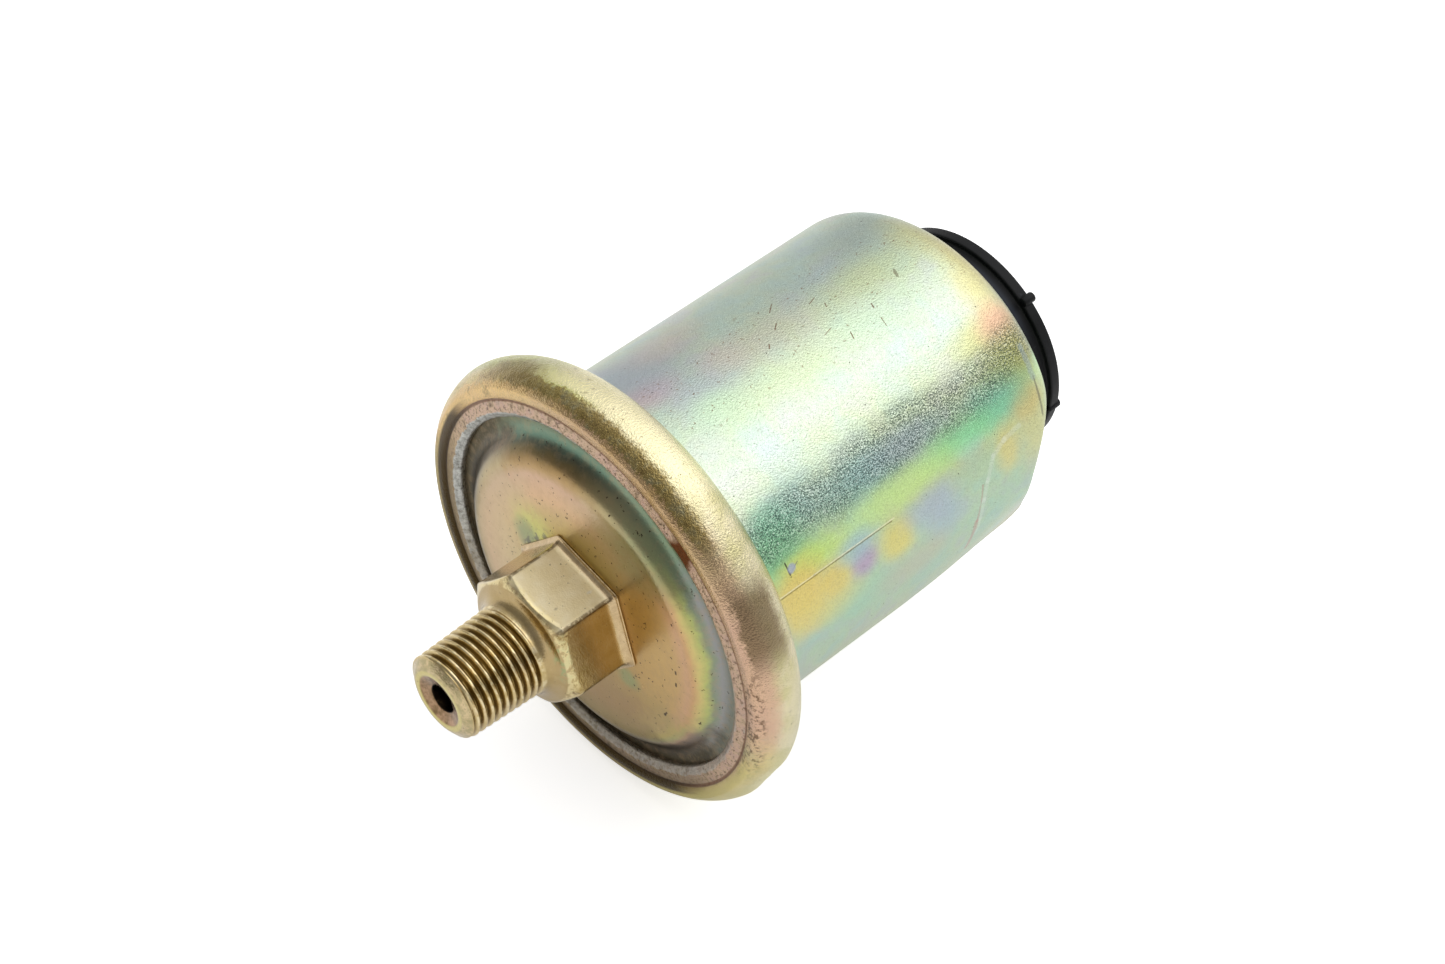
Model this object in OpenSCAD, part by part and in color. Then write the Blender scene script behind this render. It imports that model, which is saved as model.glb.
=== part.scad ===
// Oil pressure sender: tapered pipe fitting, domed base plate, drawn can with a rolled bead,
// insulating end cap with a terminal, and inside a diaphragm that turns a wiper over a resistor.
// Millimetres. +X runs along the axis from the oil hole to the terminal, +Z is up.
// The origin is on the axis at the front face of the hexagon.

/* [Pressure fitting] */
// Length of the threaded shank in front of the hexagon
shank_len = 10.4; // [9:0.1:14]
// Crest diameter of the tapered thread at its large end
thread_d = 10.5; // [10:0.1:12]
// Thread pitch, 27 threads to the inch
thread_pitch = 0.9407; // [0.8:0.01:1.1]
// Depth of the thread
thread_depth = 0.6; // [0.3:0.05:0.7]
// Diameter of the flat end of the nose
nose_d = 7.4; // [6.5:0.1:8]
// Length of the bevel at the nose
nose_bevel = 1.4; // [0.8:0.1:2]
// Diameter of the oil hole
oil_hole_d = 3.2; // [2:0.1:4]
// Diameter of the dish round the oil hole
dish_d = 5.9; // [5:0.1:6.3]
// Depth of the dish
dish_depth = 1.1; // [0.5:0.1:2]
// Plain neck between the last thread and the hexagon
neck_len = 1.4; // [1:0.1:2]
// Hexagon across flats
hex_af = 14.5; // [13.5:0.1:17]
// Length of the hexagon with its foot
hex_len = 7.9; // [6:0.1:12]
// Corner bevel at the front of the hexagon, measured along the axis
hex_bevel = 1.0; // [0.4:0.1:1.4]
// Turn of the hexagon about the axis, degrees
hex_turn = 14; // [0:1:59]
// How far the hexagon's foot stands out on each side
foot_out = 0.7; // [0.2:0.1:1]
// Length of the flare up to the foot's edge
foot_len = 1.1; // [0.6:0.1:1.6]
// Diameter of the spigot that is riveted through the base plate
spigot_d = 10; // [8:0.1:12]

/* [Base plate] */
// Thickness of the base plate
plate_t = 1.5; // [1:0.1:2]
// Height of the dome's edge over the rim
dome_h = 2.2; // [2.2:0.1:3]
// Radius of the dome's outer edge
dome_round = 2.1; // [1.8:0.1:2.1]
// Lean of the dome's wall from the axis, degrees
dome_lean = 22; // [20:1:30]
// Radius of the fillet at the dome's root
dome_fillet = 1.2; // [0.8:0.1:1.2]
// How much the dome rises from its edge to its middle
crown_h = 0.4; // [0:0.1:0.8]

/* [Can] */
// Outside diameter of the can
can_d = 40.4; // [39:0.1:42]
// Sheet thickness of the can
can_wall = 0.9; // [0.7:0.05:1]
// Length of the can behind the bead
can_len = 46.3; // [42:0.1:60]
// Radius of the can's rear shoulder
shoulder_r = 4.9; // [3:0.1:6]
// How far the rolled bead stands out from the can
bead_out = 6.4; // [5.6:0.1:8]
// Radius of the bead's section
bead_r = 4.06; // [4:0.02:4.5]
// Width of the groove between the dome and the folded lip
groove_w = 2.1; // [1.5:0.1:2.4]
// Width of the lip up to its crease with the bead
lip_w = 2.1; // [1.2:0.1:2.2]
// Hole in the can's rear wall
can_hole_d = 16; // [14:0.1:18]
// Depth of the dent in the can's rear shoulder
dent_depth = 1.2; // [0.4:0.1:1.5]
// Radius of the dent in the shoulder
dent_r = 20; // [15:1:30]
// Depth of the shallow hollow in front of the dent
hollow_depth = 0.6; // [0.3:0.1:0.8]
// Direction of the dent about the axis, degrees from +Y towards +Z
dent_turn = 191; // [150:1:230]
// Width of the notch in the lip
notch_w = 1.7; // [1:0.1:2.5]
// Direction of the notch about the axis, degrees from +Y towards +Z
notch_turn = 130; // [90:1:170]

/* [End cap] */
// Diameter of the cap's wall
cap_d = 26; // [24:0.1:28]
// How far the cap's rim stands out
cap_lip = 0.7; // [0.3:0.1:1.2]
// Height of the cap over the can
cap_h = 5.5; // [5:0.1:7]
// Height of the cap's rim
cap_rim_h = 1.4; // [1:0.1:2]
// Depth of the recess in the cap's rear face
cap_recess = 1.6; // [0.8:0.1:2]
// Wall between the recess and the cap's edge
cap_wall = 2; // [1.5:0.1:3]
// Diameter of the boss round the terminal
cap_boss_d = 11; // [10:0.1:12]
// Directions of the two nubs about the axis, degrees from +Y towards +Z
nub_turns = [129.5, 187];
// Radius of a nub
nub_r = 1; // [0.6:0.1:1.2]
// How far a nub stands out behind the rim
nub_out = 0.3; // [0.1:0.1:0.6]
// Section diameter of the cap's seal
seal_w = 1.5; // [1:0.1:1.8]

/* [Terminal] */
// Thread diameter of the terminal
stud_d = 4; // [3:0.1:5]
// Free length of the terminal
stud_free = 7; // [5:0.1:8]
// Across flats of the terminal's collar
collar_af = 8; // [7.5:0.1:9]
// Thickness of the terminal's collar
collar_t = 1.4; // [1:0.1:2]
// Thickness of the lock washer
lock_t = 0.5; // [0.4:0.1:0.8]
// Across flats of the inner nut
inner_nut_af = 7; // [6.5:0.1:7]
// Thickness of the inner nut
inner_nut_t = 2.4; // [2:0.1:3]
// Thickness of the inner insulating washer
insulator_t = 1; // [0.8:0.1:1.5]

/* [Diaphragm] */
// Thickness of the gasket
gasket_t = 0.8; // [0.5:0.1:1]
// Thickness of the diaphragm
diaphragm_t = 0.2; // [0.15:0.05:0.3]
// Thickness of the clamp ring
clamp_t = 2.1; // [1.6:0.1:2.1]
// Number of corrugations
waves = 3; // [2:1:4]
// Depth of the corrugations
wave_depth = 0.6; // [0.3:0.1:0.8]

/* [Mechanism] */
// Stroke of the push pin at full pressure
stroke = 1.6; // [1:0.1:1.6]
// Lever length from pivot to push pin
lever_r = 3.2; // [3.2:0.1:4]
// Radius of the push pin's stem
stem_r = 1.25; // [1:0.05:1.25]
// Height of the bridge over its seat
bridge_h = 4.3; // [4:0.1:6]
// Sheet thickness of the bridge
bridge_t = 1.2; // [1:0.1:1.5]
// Distance from the bridge's top to the pivot
pivot_rise = 5; // [4.5:0.1:7]
// Radius of the pivot pin
pivot_r = 0.8; // [0.6:0.05:0.9]
// Radius of the wiper's track
track_r = 14; // [13:0.1:15]
// Thickness of the resistor card
card_t = 1.2; // [1:0.1:1.5]
// Number of ridges of wire that the winding shows
winding_ridges = 22; // [12:1:30]
// Wire diameter of the return spring
spring_wire = 0.6; // [0.4:0.05:0.8]
// Turns of the return spring
spring_turns = 4.5; // [3:0.5:6]

/* [Hidden] */

// Smoothness of turned pieces and of small round details
turned_fn = 96;
round_fn = 32;
// Overlap that lets one cut run past the face it opens
past = 1;
// Clearances
slide_gap = 0.07;
hinge_gap = 0.04;
touch_gap = 0.05;
part_gap = 0.2;

// Taper of the pipe thread, on the radius
thread_taper = 1 / 32;
thread_end_x = -neck_len;
thread_start_x = -shank_len + nose_bevel;
thread_count = floor((thread_end_x - thread_start_x) / thread_pitch);
hex_r = hex_af / 2 / cos(30);
foot_steps = 5;
foot_edge = 0.2;
// Radius of the front circle that the hexagon's bevel leaves
hex_slant = 35;
hex_front_r = hex_r - hex_bevel / tan(hex_slant);
spigot_r = spigot_d / 2;
oil_r = oil_hole_d / 2;
restrictor_r = oil_r + 0.6;
restrictor_len = 3;
rivet_t = 1;
rivet_out = 1.4;

// Places along the axis, from the hexagon's front face to the terminal
seat_x = hex_len;
dome_x = seat_x + crown_h;
rim_x = dome_x + dome_h;
gasket_x = rim_x + plate_t;
diaphragm_x = gasket_x + gasket_t;
clamp_x = diaphragm_x + diaphragm_t;
flange_in_x = clamp_x + clamp_t;
flange_x = flange_in_x + can_wall;
lip_x = rim_x - can_wall;
// The bead's middle lies a little behind the base plate's rear face
bead_offset = 0.6;
bead_x = gasket_x + bead_offset;
can_back_x = flange_x + can_len;
cap_back_x = can_back_x + cap_h;
cap_rim_x = cap_back_x - cap_rim_h;

can_r = can_d / 2;
can_in_r = can_r - can_wall;
bead_ring_r = can_r + bead_out - bead_r;
bead_in_r = bead_r - can_wall;
// The stacked rims fill the bead up to where its cavity narrows at the clamp ring's rear face
stack_r = bead_ring_r + sqrt(pow(bead_in_r, 2) - pow(flange_in_x - bead_x, 2)) - part_gap;
// The dome is as wide as the can's bore
dome_r = can_in_r;
lip_r = dome_r + groove_w;
crease_r = lip_r + lip_w;
root_r = 1;
land_r = hex_r + foot_out + 0.4;
clamp_in_r = dome_r - 1.8;
// Lip: rise of its flat part, bevel at its sheared edge, slope up to the bead, and the bead's flat front
lip_rise = 0.15;
lip_bevel = 0.4;
slope_w = 0.5;
bead_front = 3.27;
notch_len = 1.6;
notch_depth = 0.6;
// How far the dent and the hollow before it lean to the rear, and the hollow's place and radius
dent_lean = 38;
hollow_lean = 2.5;
hollow_x = can_back_x - shoulder_r - 1;
hollow_r = 100;

// Mechanism, seen along +Y: the pivot lies under the axis
bridge_seat_x = flange_in_x;
bridge_top_x = bridge_seat_x + bridge_h + bridge_t;
pivot_x = bridge_top_x + pivot_rise;
pivot_z = -lever_r;
spring_gap = 1.6;
disc_t = 0.9;
disc_r = 7.5;
sweep = stroke / lever_r * 180 / PI;
// How far the bridge's raised middle is wider than the pin's disc, and half the width of its ears
hat_out = 4;
ear_half = 3;
hub_r = pivot_r + 0.8;
ear_y = 4.4;
arm_t = 1;
arm_y = 0.5;
arm_w = 1.8;
pad_t = 1.2;
pad_top_z = 1.2;
card_half = 27.5;
card_w = 5.2;
// Places of the rivets from the card's ends, and of the winding from the rivets' heads
rivet_in = 1.1;
winding_gap = 0.36;
winding_t = 0.15;
// Bare wire past the card's edges, and the ridges over it
winding_edge = 0.1;
ridge_edge = 0.15;
window_gap = 0.5;
rivet_track_r = track_r + 0.6;
card_y = ear_y - card_t;
strip_t = 0.3;
strip_w = 1.3;
// Clearance between the strip and the nut that it passes, and the width of its eye
strip_gap = 0.3;
eye_w = 1.5;
contact_r = 0.6;
rivet_r = 0.6;
rivet_head_r = 1.1;
rivet_head_t = 0.5;
rivet_half = card_half - rivet_in / rivet_track_r * 180 / PI;
winding_half = rivet_half - (rivet_head_r + winding_gap) / track_r * 180 / PI;
screw_r = 0.8;
screw_len = 3.2;
screw_head_t = 1;
screw_head_out = 0.7;
slot_w = 0.4;
// The screw's place from the pivot, and the tab that carries it
screw_x = 4.45;
screw_in = 1.5;
screw_z = 2.4;
tab_reach = 6;
tab_low = 0.8;
tab_h = 3.2;
tab_w = 4;

// Terminal stack
stud_r = stud_d / 2;
boss_x = cap_back_x - cap_recess + 0.8;
lock_x = boss_x;
collar_x = lock_x + lock_t;
stud_end_x = collar_x + collar_t + stud_free;
insulator_x = can_back_x - can_wall - insulator_t;
eye_x = insulator_x - strip_t;
inner_nut_x = eye_x - inner_nut_t;
stud_in_x = inner_nut_x - 0.8;
stud_bevel = 0.4;
collar_turn = 10;
seal_ring_r = can_hole_d / 2 + 2.4;
seal_gap = 0.1;
insulator_rim = 3;
nub_rise = 0.75;
// Washer: how far its rim and the bottom of its cuts lie from the terminal, and the cuts' width
lock_rim = 2.6;
lock_root = 2;
lock_cut_w = 0.6;
lock_teeth = 10;

module turned() { rotate([0, 90, 0]) rotate_extrude($fn = turned_fn) children(); }

// A disc or tube along the axis
module tube_x(x0, x1, r_out, r_in = 0) {
    translate([x0, 0, 0]) rotate([0, 90, 0]) difference() {
        cylinder(h = x1 - x0, r = r_out, $fn = turned_fn);
        if (r_in > 0) translate([0, 0, -past]) cylinder(h = x1 - x0 + 2 * past, r = r_in, $fn = turned_fn);
    }
}

// A pin across the axis, along +Y
module pin_y(x, z, y0, y1, r) {
    translate([x, y0, z]) rotate([-90, 0, 0]) cylinder(h = y1 - y0, r = r, $fn = round_fn);
}

// A hexagonal prism along the axis
module hex_x(x0, x1, af, turn = 0) {
    translate([x0, 0, 0]) rotate([turn, 0, 0]) rotate([0, 90, 0])
        cylinder(h = x1 - x0, r = af / 2 / cos(30), $fn = 6);
}

// A wedge about the pivot, seen along +Y, used to cut arcs
module sector_y(y0, y1, r_in, r_out, half_angle) {
    reach = r_out / cos(half_angle) + past;
    intersection() {
        difference() {
            pin_y_round(y0, y1, r_out);
            pin_y_round(y0 - past, y1 + past, r_in);
        }
        translate([pivot_x, y1 + past, pivot_z]) rotate([90, 0, 0])
            linear_extrude(height = y1 - y0 + 2 * past)
                polygon([[0, 0], [reach * cos(half_angle), -reach * sin(half_angle)],
                         [2 * reach, -reach * sin(half_angle)], [2 * reach, reach * sin(half_angle)],
                         [reach * cos(half_angle), reach * sin(half_angle)]]);
    }
}
module pin_y_round(y0, y1, r) {
    translate([pivot_x, y0, pivot_z]) rotate([-90, 0, 0]) cylinder(h = y1 - y0, r = r, $fn = turned_fn);
}

// Outline of the shank: nose, thread crests and roots on the taper, and flared neck
function crest_r(x) = thread_d / 2 + (x - thread_end_x) * thread_taper;
function thread_points() = [
    for (i = [0 : thread_count - 1]) let (x = thread_end_x - (i + 1) * thread_pitch)
        each [[crest_r(x + thread_pitch) , x + thread_pitch],
              [crest_r(x + 0.88 * thread_pitch), x + 0.88 * thread_pitch],
              [crest_r(x) - thread_depth, x + 0.54 * thread_pitch],
              [crest_r(x) - thread_depth, x + 0.46 * thread_pitch],
              [crest_r(x + 0.12 * thread_pitch), x + 0.12 * thread_pitch]]];

module shank_outline() {
    last_x = thread_end_x - thread_count * thread_pitch;
    polygon(concat([[0, 0], [hex_front_r - 0.3, 0], [crest_r(0) + 0.25, -0.35 * neck_len],
                    [crest_r(0), -0.7 * neck_len]],
                   thread_points(),
                   [[crest_r(last_x), last_x], [crest_r(thread_start_x) - 0.1, thread_start_x],
                    [nose_d / 2, -shank_len], [0, -shank_len]]));
}

// One pair of opposite flats of the hexagon, with the foot flaring out at the rear
module flat_pair() {
    half = hex_af / 2;
    reach = hex_r + foot_out + past;
    foot_x = hex_len - foot_edge - foot_len;
    function rise(i) = foot_out * (1 - cos(90 * i / foot_steps));
    function run(i) = foot_x + foot_len * sin(90 * i / foot_steps);
    side = [for (i = [0 : foot_steps]) [run(i), half + rise(i)]];
    outline = concat([[0, half]], side, [[hex_len, half + foot_out]]);
    last = len(outline) - 1;
    translate([0, -reach, 0]) rotate([-90, 0, 0]) linear_extrude(height = 2 * reach)
        polygon(concat(outline, [for (i = [last : -1 : 0]) [outline[i][0], -outline[i][1]]]));
}

module pressure_fitting() {
    reach = hex_r + foot_out + past;
    end_x = seat_x + plate_t + rivet_t;
    dish_slope = (dish_d / 2 - oil_r) / dish_depth;
    color("tan") difference() {
        union() {
            turned() shank_outline();
            intersection() {
                rotate([hex_turn, 0, 0]) intersection() {
                    flat_pair();
                    rotate([60, 0, 0]) flat_pair();
                    rotate([120, 0, 0]) flat_pair();
                }
                turned() polygon([[0, 0], [hex_front_r, 0], [reach, (reach - hex_front_r) * tan(hex_slant)],
                                  [reach, hex_len], [0, hex_len]]);
            }
            tube_x(hex_len - past, seat_x + plate_t, spigot_r);
            tube_x(seat_x + plate_t, end_x, spigot_r + rivet_out);
        }
        tube_x(-shank_len - past, end_x + past, oil_r);
        tube_x(end_x - restrictor_len, end_x + past, restrictor_r);
        turned() polygon([[0, -shank_len - past], [dish_d / 2 + past * dish_slope, -shank_len - past],
                          [oil_r - 0.1, -shank_len + dish_depth + 0.1 / dish_slope],
                          [0, -shank_len + dish_depth]]);
    }
}

module restrictor() {
    end_x = seat_x + plate_t + rivet_t;
    color("goldenrod") tube_x(end_x - restrictor_len, end_x, restrictor_r, 0.4);
}

// Pressed outline of the base plate's front, moved back by a depth: crown, rounded edge, leaning wall, root
module plate_face(depth) {
    round_r = dome_round - depth * 0.5;
    fillet_r = dome_fillet + depth * 0.5;
    top = dome_x + depth;
    foot = rim_x + depth;
    round_at = dome_r - round_r * cos(dome_lean) - depth;
    wall_len = (dome_h - (round_r + fillet_r) * (1 - sin(dome_lean))) / cos(dome_lean);
    wall_top = [round_at + round_r * cos(dome_lean), top + round_r * (1 - sin(dome_lean))];
    wall_foot = wall_top + wall_len * [sin(dome_lean), cos(dome_lean)];
    fillet_at = wall_foot[0] + fillet_r * cos(dome_lean);
    deep = foot + past;
    union() {
        polygon([[0, seat_x + depth], [land_r, seat_x + depth], [round_at, top], [round_at, deep],
                 [0, deep]]);
        intersection() {
            translate([round_at, top + round_r]) circle(r = round_r, $fn = 64);
            polygon([[round_at - past, top - past], [wall_top[0] + round_r, top - past], wall_top,
                     [round_at, top + round_r], [round_at - past, top + round_r]]);
        }
        polygon([[round_at, top + round_r], wall_top, wall_foot, [wall_foot[0], deep], [round_at, deep]]);
        difference() {
            polygon([wall_foot, [fillet_at, foot], [fillet_at, deep], [wall_foot[0], deep]]);
            translate([fillet_at, foot - fillet_r]) circle(r = fillet_r, $fn = 64);
        }
    }
}

module base_plate() {
    color("burlywood") turned() difference() {
        union() {
            plate_face(0);
            translate([0, rim_x]) square([stack_r, plate_t]);
        }
        plate_face(plate_t);
        translate([0, gasket_x]) square([stack_r + past, 3 * past]);
        translate([0, seat_x - past]) square([spigot_r, plate_t + 3 * past]);
    }
}

module gasket() { color("dimgray") tube_x(gasket_x, diaphragm_x, stack_r, dome_r - plate_t); }

// Corrugated disc: flat middle, round waves, flat rim under the clamp ring
module diaphragm() {
    wave_in = disc_r + 1;
    wave_out = clamp_in_r - 0.6;
    steps = 8 * waves;
    function wave(i) = -wave_depth * (1 - cos(360 * i * waves / steps)) / 2;
    color("silver") turned() polygon(concat(
        [[0, diaphragm_x]],
        [for (i = [0 : steps]) [wave_in + (wave_out - wave_in) * i / steps, diaphragm_x + wave(i)]],
        [[stack_r, diaphragm_x], [stack_r, clamp_x]],
        [for (i = [steps : -1 : 0]) [wave_in + (wave_out - wave_in) * i / steps, clamp_x + wave(i)]],
        [[0, clamp_x]]));
}

module clamp_ring() { color("lightgray") tube_x(clamp_x, flange_in_x, stack_r, clamp_in_r); }

module push_pin() {
    color("gainsboro") {
        tube_x(clamp_x, clamp_x + disc_t, disc_r);
        tube_x(clamp_x, pivot_x, stem_r);
        translate([pivot_x, 0, 0]) rotate([0, 90, 0]) rotate_extrude($fn = turned_fn) intersection() {
            circle(r = stem_r, $fn = 64);
            square(stem_r + past);
        }
    }
}

// Round wire wound along the axis between the pin's disc and the bridge
module return_spring() {
    x0 = clamp_x + disc_t + spring_wire / 2;
    x1 = bridge_seat_x + bridge_h - spring_wire / 2;
    coil_r = stem_r + spring_gap;
    per_turn = 16;
    sides = 8;
    n = spring_turns * per_turn;
    function at(i) = x0 + (x1 - x0) * i / n;
    ring = [for (i = [0 : n], k = [0 : sides - 1])
        let (t = 360 * i / per_turn, s = 360 * k / sides, r = coil_r + spring_wire / 2 * cos(s))
            [at(i) + spring_wire / 2 * sin(s), r * cos(t), r * sin(t)]];
    walls = [for (i = [0 : n - 1], k = [0 : sides - 1])
        let (a = i * sides + k, b = i * sides + (k + 1) % sides)
            each [[a, a + sides, b], [b, a + sides, b + sides]]];
    color("slategray") polyhedron(points = ring, faces = concat(
        [[for (k = [0 : sides - 1]) k]], walls, [[for (k = [sides - 1 : -1 : 0]) n * sides + k]]));
}

// Side wall of the bridge in the X-Z plane, with a round head about the pivot
module ear(y0, length, half_w) {
    translate([0, y0 + bridge_t, 0]) rotate([90, 0, 0]) linear_extrude(height = bridge_t) union() {
        translate([bridge_top_x - bridge_t, pivot_z - half_w]) square([length, 2 * half_w]);
        translate([bridge_top_x - bridge_t + length, pivot_z]) circle(r = half_w, $fn = 64);
    }
}

module bridge_frame() {
    foot_r = can_in_r - part_gap;
    hat_r = disc_r + hat_out;
    far_y = -ear_y - bridge_t;
    stop_x = pivot_x + tab_reach;
    color("darkgray") difference() {
        union() {
            turned() difference() {
                union() {
                    translate([0, bridge_seat_x]) square([foot_r, bridge_t]);
                    translate([0, bridge_seat_x]) square([hat_r, bridge_h + bridge_t]);
                }
                translate([0, bridge_seat_x - past]) square([hat_r - bridge_t, bridge_h + past]);
                square([stem_r + slide_gap, bridge_top_x + past]);
            }
            ear(ear_y, pivot_x - bridge_top_x + bridge_t, ear_half);
            ear(far_y, pivot_x - bridge_top_x + bridge_t, ear_half);
            // Plate behind the resistor card
            sector_y(ear_y, ear_y + bridge_t, 0, track_r + card_w / 2 + 1, card_half);
            // Tab that carries the calibration screw
            translate([pivot_x, far_y, pivot_z + tab_low]) cube([tab_reach, bridge_t, tab_h]);
            translate([stop_x - bridge_t, far_y, pivot_z + tab_low]) cube([bridge_t, tab_w, tab_h]);
        }
        // Window behind the winding
        sector_y(ear_y - past, ear_y + bridge_t + past, track_r - card_w / 2 - window_gap,
                 track_r + card_w / 2 + window_gap, winding_half + 2);
        pin_y(pivot_x, pivot_z, -ear_y - bridge_t - past, ear_y + bridge_t + past, pivot_r);
        for (side = [-1, 1]) rivet_place(side) pin_y(0, 0, ear_y - past, ear_y + bridge_t + past, rivet_r);
        screw_place() tube_x(0, tab_reach, screw_r);
    }
}

module rivet_place(side) {
    translate([pivot_x, 0, pivot_z])
        translate([rivet_track_r * cos(rivet_half), 0, side * rivet_track_r * sin(rivet_half)]) children();
}
module screw_place() { translate([pivot_x + screw_x, -ear_y + screw_in, pivot_z + screw_z]) children(); }

module pivot_pin() {
    head_t = 0.5;
    end_y = ear_y + bridge_t;
    color("silver") {
        pin_y(pivot_x, pivot_z, -end_y, end_y, pivot_r);
        pin_y(pivot_x, pivot_z, -end_y - head_t, -end_y, pivot_r + 0.5);
        pin_y(pivot_x, pivot_z, end_y, end_y + head_t, pivot_r + 0.5);
    }
}

// Lever: hub, pad over the push pin, and the long arm that carries the wiper
module rocker() {
    pad_x = stem_r + touch_gap;
    half = ear_y - touch_gap;
    color("gold") difference() {
        union() {
            pin_y(pivot_x, pivot_z, -half, half, hub_r);
            translate([pivot_x + pad_x, -half, pivot_z - hub_r])
                cube([pad_t, 2 + half, hub_r + lever_r + pad_top_z]);
            translate([pivot_x, arm_y, pivot_z]) rotate([0, -sweep / 2, 0])
                translate([0, 0, -arm_w / 2]) cube([track_r, arm_t, arm_w]);
            translate([pivot_x, 0, pivot_z]) rotate([0, -sweep / 2, 0])
                pin_y(track_r, 0, arm_y, arm_y + arm_t, arm_w / 2 + 0.2);
        }
        pin_y(pivot_x, pivot_z, -half - past, half + past, pivot_r + hinge_gap);
        wiper_hole();
    }
}
module wiper_hole() {
    translate([pivot_x, 0, pivot_z]) rotate([0, -sweep / 2, 0])
        pin_y(track_r, 0, arm_y - past, arm_y + arm_t + past, contact_r);
}

module wiper_contact() {
    color("whitesmoke") translate([pivot_x, 0, pivot_z]) rotate([0, -sweep / 2, 0]) {
        pin_y(track_r, 0, arm_y - 0.3, card_y - winding_t - touch_gap, contact_r);
        pin_y(track_r, 0, arm_y - 0.3, arm_y, contact_r + 0.3);
    }
}

module resistor_card() {
    color("saddlebrown") difference() {
        sector_y(card_y, ear_y, track_r - card_w / 2, track_r + card_w / 2, card_half);
        for (side = [-1, 1]) rivet_place(side) pin_y(0, 0, card_y - past, ear_y + past, rivet_r);
    }
}

// Sleeve of wire round the card, with a ridge for each few turns
module resistor_winding() {
    step = 2 * winding_half / winding_ridges;
    ridge_w = track_r * step * PI / 360;
    color("peru") difference() {
        union() {
            sector_y(card_y - winding_t / 2, ear_y + winding_t / 2, track_r - card_w / 2 - winding_edge,
                     track_r + card_w / 2 + winding_edge, winding_half);
            for (i = [0 : winding_ridges - 1])
                translate([pivot_x, 0, pivot_z]) rotate([0, -(i + 0.5) * step + winding_half, 0])
                    translate([track_r - card_w / 2 - ridge_edge, card_y - winding_t, -ridge_w / 2])
                        cube([card_w + 2 * ridge_edge, card_t + 2 * winding_t, ridge_w]);
        }
        sector_y(card_y, ear_y, track_r - card_w / 2, track_r + card_w / 2, card_half);
    }
}

module card_rivets() {
    color("silver") for (side = [-1, 1]) rivet_place(side) {
        front_y = side > 0 ? card_y - strip_t : card_y;
        pin_y(0, 0, front_y, ear_y + bridge_t, rivet_r);
        pin_y(0, 0, front_y - rivet_head_t, front_y, rivet_head_r);
        pin_y(0, 0, ear_y + bridge_t, ear_y + bridge_t + rivet_head_t, rivet_head_r);
    }
}

module adjuster_screw() {
    head_x = screw_len + screw_head_t;
    color("silver") screw_place() difference() {
        union() {
            tube_x(0, screw_len, screw_r);
            tube_x(screw_len, head_x, screw_r + screw_head_out);
        }
        translate([head_x - screw_head_t / 2, -screw_r - past, -slot_w / 2])
            cube([screw_head_t, 2 * screw_r + 2 * past, slot_w]);
    }
}

// Strip from the card's upper rivet, out round the inner nut, to the eye behind it
module lead_strip() {
    rivet_x = pivot_x + rivet_track_r * cos(rivet_half);
    low_z = pivot_z + rivet_track_r * sin(rivet_half) - strip_w / 2;
    near_y = card_y - strip_t;
    far_y = inner_nut_af / 2 / cos(30) + strip_gap;
    jog_x = inner_nut_x - strip_gap - strip_t;
    color("goldenrod") difference() {
        union() {
            translate([rivet_x - rivet_head_r, near_y, low_z])
                cube([jog_x + strip_t - rivet_x + rivet_head_r, strip_t, strip_w]);
            translate([jog_x, min(near_y, far_y), low_z]) cube([strip_t, abs(far_y - near_y) + strip_t, strip_w]);
            translate([jog_x, far_y, low_z]) cube([eye_x + strip_t - jog_x, strip_t, strip_w]);
            translate([eye_x, stud_r / 2, low_z]) cube([strip_t, far_y + strip_t - stud_r / 2, strip_w]);
            tube_x(eye_x, eye_x + strip_t, stud_r + eye_w);
        }
        tube_x(eye_x - past, eye_x + strip_t + past, stud_r);
        rivet_place(1) pin_y(0, 0, near_y - past, card_y + past, rivet_r);
    }
}

// Section of the can, drawn as (radius, place along the axis)
module can_outside() {
    union() {
        translate([0, lip_x]) square([can_r, can_back_x - shoulder_r - lip_x]);
        translate([0, can_back_x - shoulder_r - 0.001]) square([can_r - shoulder_r, shoulder_r + 0.001]);
        intersection() {
            translate([can_r - shoulder_r, can_back_x - shoulder_r]) circle(r = shoulder_r, $fn = 96);
            translate([can_r - shoulder_r - 0.001, can_back_x - shoulder_r - 0.001])
                square([shoulder_r + past, shoulder_r + past]);
        }
        intersection() {
            translate([bead_ring_r, bead_x]) circle(r = bead_r, $fn = 128);
            translate([bead_ring_r - bead_r, bead_x - bead_r]) square([2 * bead_r, flange_x - bead_x + bead_r]);
        }
        translate([can_r - past, lip_x]) square([bead_ring_r - can_r + past, flange_x - lip_x]);
        difference() {
            translate([can_r - 0.001, flange_x - 0.001]) square([root_r + 0.001, root_r + 0.001]);
            translate([can_r + root_r, flange_x + root_r]) circle(r = root_r, $fn = 64);
        }
    }
}

module can_inside() {
    back = can_back_x - can_wall;
    round_in = shoulder_r - can_wall;
    union() {
        translate([0, flange_in_x]) square([can_in_r, back - round_in - flange_in_x]);
        translate([0, back - round_in - 0.001]) square([can_in_r - round_in, round_in + 0.001]);
        intersection() {
            translate([can_in_r - round_in, back - round_in]) circle(r = round_in, $fn = 96);
            translate([can_in_r - round_in - 0.001, back - round_in - 0.001])
                square([round_in + past, round_in + past]);
        }
        difference() {
            translate([can_in_r - 0.001, flange_in_x]) square([root_r + can_wall, root_r + can_wall]);
            translate([can_r + root_r, flange_x + root_r]) circle(r = root_r + can_wall, $fn = 64);
        }
    }
}

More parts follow.
